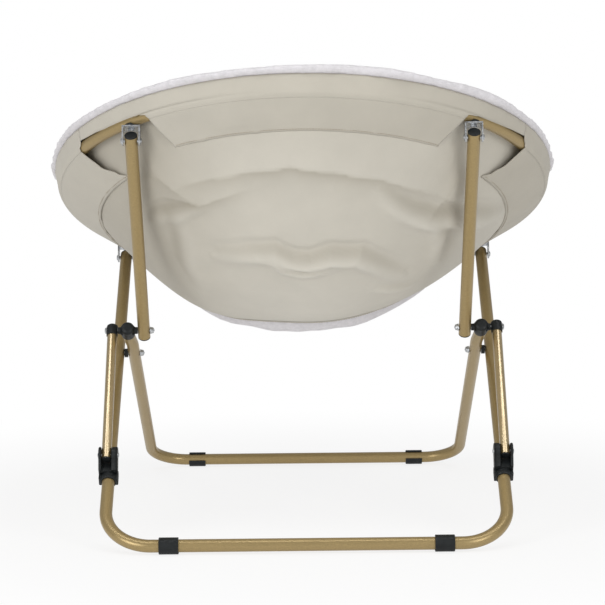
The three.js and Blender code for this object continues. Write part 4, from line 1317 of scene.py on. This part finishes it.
def lift_off_canvas(mesh):
    """Raises the pad's underside wherever a tuck in the canvas would reach it."""
    size = cover()
    for vertex in mesh.vertices:
        x, y, z = ring_place(vertex.co)
        radius, turn = math.hypot(x, y), math.atan2(x, y)
        if radius > size.pan_radius - 0.004 or -y > hem_line(x) and radius < size.hem_radius:
            continue
        plain = pan_height(radius) - sag(radius, turn)
        if z - plain > 0.016:  # the pad's upper side
            continue
        raised = max(plain, plain + canvas_lift(radius, turn)) + 0.0028
        if z < raised:
            vertex.co += ring_up * (raised - z)


# How the pad's cloth behaves while it is filled
FILLING = {
    "quality": 4, "mass": 0.4, "tension_stiffness": 25, "compression_stiffness": 25, "shear_stiffness": 12,
    "bending_stiffness": 1.5, "use_pressure": True, "uniform_pressure_force": 3.0,
    "vertex_group_mass": "held", "pin_stiffness": 3,
}
FILLING_FRAMES = 16
MOST_SHIFT = 0.007


def fill(made):
    """Fills the pad: a pressure cloth simulation with the side that lies on the canvas held still."""
    size = cover()
    remesh = made.modifiers.new("even", "REMESH")
    remesh.mode = "VOXEL"
    remesh.voxel_size = 0.006
    remesh.use_smooth_shade = True
    apply_modifiers(made)
    mesh = made.data
    rest = [vertex.co.copy() for vertex in mesh.vertices]
    held = made.vertex_groups.new(name="held")
    loose = []
    for i, point in enumerate(rest):
        x, y, z = ring_place(point)
        radius, turn = math.hypot(x, y), math.atan2(x, y)
        drop = belly_drop(radius, turn)
        above = z - (pan_height(min(radius, size.pan_radius)) - sag(radius, turn) - drop)
        on_canvas = radius < size.pan_radius and above < 0.009
        weight = 1.0 if on_canvas and drop < 0.002 else 0.35 if on_canvas else 0.12
        held.add([i], weight, "REPLACE")
        loose.append(1.0 - weight)
    cloth = made.modifiers.new("filling", "CLOTH")
    for name, value in FILLING.items():
        setattr(cloth.settings, name, value)
    cloth.settings.effector_weights.gravity = 0
    cloth.collision_settings.use_collision = False
    scene = bpy.context.scene
    for number in range(1, FILLING_FRAMES + 1):
        scene.frame_set(number)
    graph = bpy.context.evaluated_depsgraph_get()
    filled = made.evaluated_get(graph).to_mesh()
    moved = [vertex.co.copy() for vertex in filled.vertices]
    made.evaluated_get(graph).to_mesh_clear()
    made.modifiers.remove(cloth)
    scene.frame_set(1)
    for vertex, before, after, share_loose in zip(mesh.vertices, rest, moved, loose):
        shift = (after - before) * share_loose
        if shift.length > MOST_SHIFT:
            shift = shift.normalized() * MOST_SHIFT
        vertex.co = before + shift
    lift_off_canvas(mesh)
    relax = made.modifiers.new("relaxed", "SMOOTH")
    relax.factor = 0.5
    relax.iterations = 1
    finer = made.modifiers.new("finer", "SUBSURF")
    finer.levels = finer.render_levels = 1
    apply_modifiers(made)
    made.data.shade_smooth()


def apply_modifiers(obj):
    graph = bpy.context.evaluated_depsgraph_get()
    made = bpy.data.meshes.new_from_object(obj.evaluated_get(graph))
    obj.modifiers.clear()
    obj.data = made


# Studio


WHITE = (1, 1, 1, 1)
WORLD_LIGHT = 0.42  # the surroundings' light on the chair
FLOOR_NEAR, FLOOR_FAR = 0.45, 1.1  # distances between which the floor fades to plain white
NEAR_WHITE = 0.8  # share of plain white near the chair, as the camera sees it
FLOOR_WHITE = 0.42  # share of plain white in what the floor throws back on the chair

# Each lamp: name, place, what it points at, width, depth, power
LAMPS = (
    ("key_lamp", (-2.2, 3.6, 1.5), (0, 0, 0.4), 1.6, 1.6, 42),
    ("fill_lamp", (2.4, 3.4, 1.3), (0, 0, 0.4), 1.8, 1.8, 52),
    ("top_lamp", (0.0, 1.05, 3.2), (0, 0.1, 0.3), 5.0, 0.4, 34),
)


def studio_floor_material():
    """White floor: it takes a soft shadow near the chair and fades to plain white further off."""
    made = bpy.data.materials.new("studio_floor")
    made.use_nodes = True
    made.node_tree.nodes.clear()
    tree = Nodes(made.node_tree)
    paint = tree.add("BsdfDiffuse", Color=(0.95, 0.95, 0.95, 1))
    distance = tree.add("VectorMath", operation="LENGTH")
    tree.link(tree.add("TexCoord").outputs["Object"], distance.inputs[0])
    fade = tree.spread(distance.outputs["Value"], NEAR_WHITE, 1.0, FLOOR_NEAR, FLOOR_FAR,
                       interpolation_type="SMOOTHSTEP")
    seen = tree.join("MULTIPLY", fade, tree.add("LightPath").outputs["Is Camera Ray"])
    tree.surface("OutputMaterial", tree.join("MAXIMUM", seen, FLOOR_WHITE), paint, tree.add("Emission"))
    return made


def make_studio():
    link = bpy.context.scene.collection.objects.link
    shape = bmesh.new()
    corners = [Vector((x, y, -0.0005)) for x, y in ((-6, -9), (6, -9), (6, 5), (-6, 5))]
    shape.faces.new(loop(shape, corners))
    mesh = bpy.data.meshes.new("studio_floor")
    shape.to_mesh(mesh)
    shape.free()
    mesh.materials.append(studio_floor_material())
    floor = bpy.data.objects.new("studio_floor", mesh)
    link(floor)

    for name, place, target, wide, deep, power in LAMPS:
        data = bpy.data.lights.new(name, "AREA")
        data.shape = "RECTANGLE"
        data.size, data.size_y = wide, deep
        data.energy = power
        lamp = bpy.data.objects.new(name, data)
        lamp.location = place
        lamp.rotation_euler = (Vector(target) - Vector(place)).to_track_quat("-Z", "Y").to_euler()
        link(lamp)

    world = bpy.data.worlds.new("studio_world")
    bpy.context.scene.world = world
    world.use_nodes = True
    world.node_tree.nodes.clear()
    tree = Nodes(world.node_tree)
    soft = tree.add("Background", Color=WHITE, Strength=WORLD_LIGHT)
    seen = tree.add("Background", Color=WHITE, Strength=1)
    tree.surface("OutputWorld", tree.add("LightPath").outputs["Is Camera Ray"], soft, seen)


PHOTO_PIXELS = 605


def make_camera():
    studio = bpy.context.scene.chair_studio
    data = bpy.data.cameras.new("photo_camera")
    data.sensor_width = 36
    data.lens = studio.focal / PHOTO_PIXELS * data.sensor_width
    camera = bpy.data.objects.new("photo_camera", data)
    forward = Vector((0, -math.cos(studio.pitch), -math.sin(studio.pitch)))
    up = Vector((0, -math.sin(studio.pitch), math.cos(studio.pitch)))
    turn = Matrix((forward.cross(up), up, -forward)).transposed()
    turn = turn @ Matrix.Rotation(-studio.roll, 3, "Z")
    place = (studio.side, bar_middle("rear").y + studio.distance, studio.height)
    camera.matrix_world = Matrix.Translation(place) @ turn.to_4x4()
    bpy.context.scene.collection.objects.link(camera)
    bpy.context.scene.camera = camera
    bpy.context.scene.view_settings.view_transform = "Standard"


# Operators


class ChairOperator(Operator):
    """Shared by the chair's operators"""

    bl_options = {"REGISTER"}
    steps = ()

    def execute(self, context):
        for step in self.steps:
            step()
        return {"FINISHED"}


class SAUCER_OT_frame(ChairOperator):
    """Builds the legs, ring, posts and struts"""

    bl_idname = "saucer.frame"
    bl_label = "Build frame tubes"
    steps = (make_rear_legs, make_front_legs, make_ring, make_straight_tubes)


class SAUCER_OT_fittings(ChairOperator):
    """Builds the plugs, knuckles, collars and feet, and dresses the fasteners"""

    bl_idname = "saucer.fittings"
    bl_label = "Build fittings"
    steps = (make_plugs, make_knuckles, make_collars, make_rivets, make_feet)


class SAUCER_OT_cover(ChairOperator):
    """Builds the padded cover with its sleeves and seams"""

    bl_idname = "saucer.cover"
    bl_label = "Build cover"
    steps = (make_pad, make_canvas, make_sleeves, make_seam_threads)


class SAUCER_OT_fasteners(ChairOperator):
    """Gives brackets, bolts and spacers their finishes"""

    bl_idname = "saucer.fasteners"
    bl_label = "Dress fasteners"
    steps = (dress_fasteners,)


class SAUCER_OT_studio(ChairOperator):
    """Builds the floor, lamps, world and camera"""

    bl_idname = "saucer.studio"
    bl_label = "Build studio"
    steps = (make_studio, make_camera)


class SAUCER_PT_panel(Panel):
    """The chair's sizes, colours and build buttons"""

    bl_idname = "SAUCER_PT_panel"
    bl_label = "Saucer chair"
    bl_space_type = "VIEW_3D"
    bl_region_type = "UI"
    bl_category = "Saucer chair"

    def draw(self, context):
        for name, group in GROUPS.items():
            box = self.layout.box()
            box.label(text=group.__doc__)
            held = getattr(context.scene, name)
            for row in group.__annotations__:
                box.prop(held, row)
        for operator in OPERATORS:
            self.layout.operator(operator.bl_idname)


GROUPS = {
    "chair_tubes": ChairTubes,
    "chair_fittings": ChairFittings,
    "chair_cover": ChairCover,
    "chair_finishes": ChairFinishes,
    "chair_studio": ChairStudio,
}
OPERATORS = (SAUCER_OT_frame, SAUCER_OT_fittings, SAUCER_OT_cover, SAUCER_OT_fasteners, SAUCER_OT_studio)


def register():
    for group in (*GROUPS.values(), *OPERATORS, SAUCER_PT_panel):
        bpy.utils.register_class(group)
    for name, group in GROUPS.items():
        setattr(bpy.types.Scene, name, PointerProperty(type=group))


def unregister():
    for name in GROUPS:
        delattr(bpy.types.Scene, name)
    for group in reversed((*GROUPS.values(), *OPERATORS, SAUCER_PT_panel)):
        bpy.utils.unregister_class(group)


def main():
    register()
    bpy.ops.saucer.frame()
    bpy.ops.saucer.fittings()
    bpy.ops.saucer.cover()
    bpy.ops.saucer.fasteners()
    bpy.ops.saucer.studio()


if __name__ == "__main__":
    main()
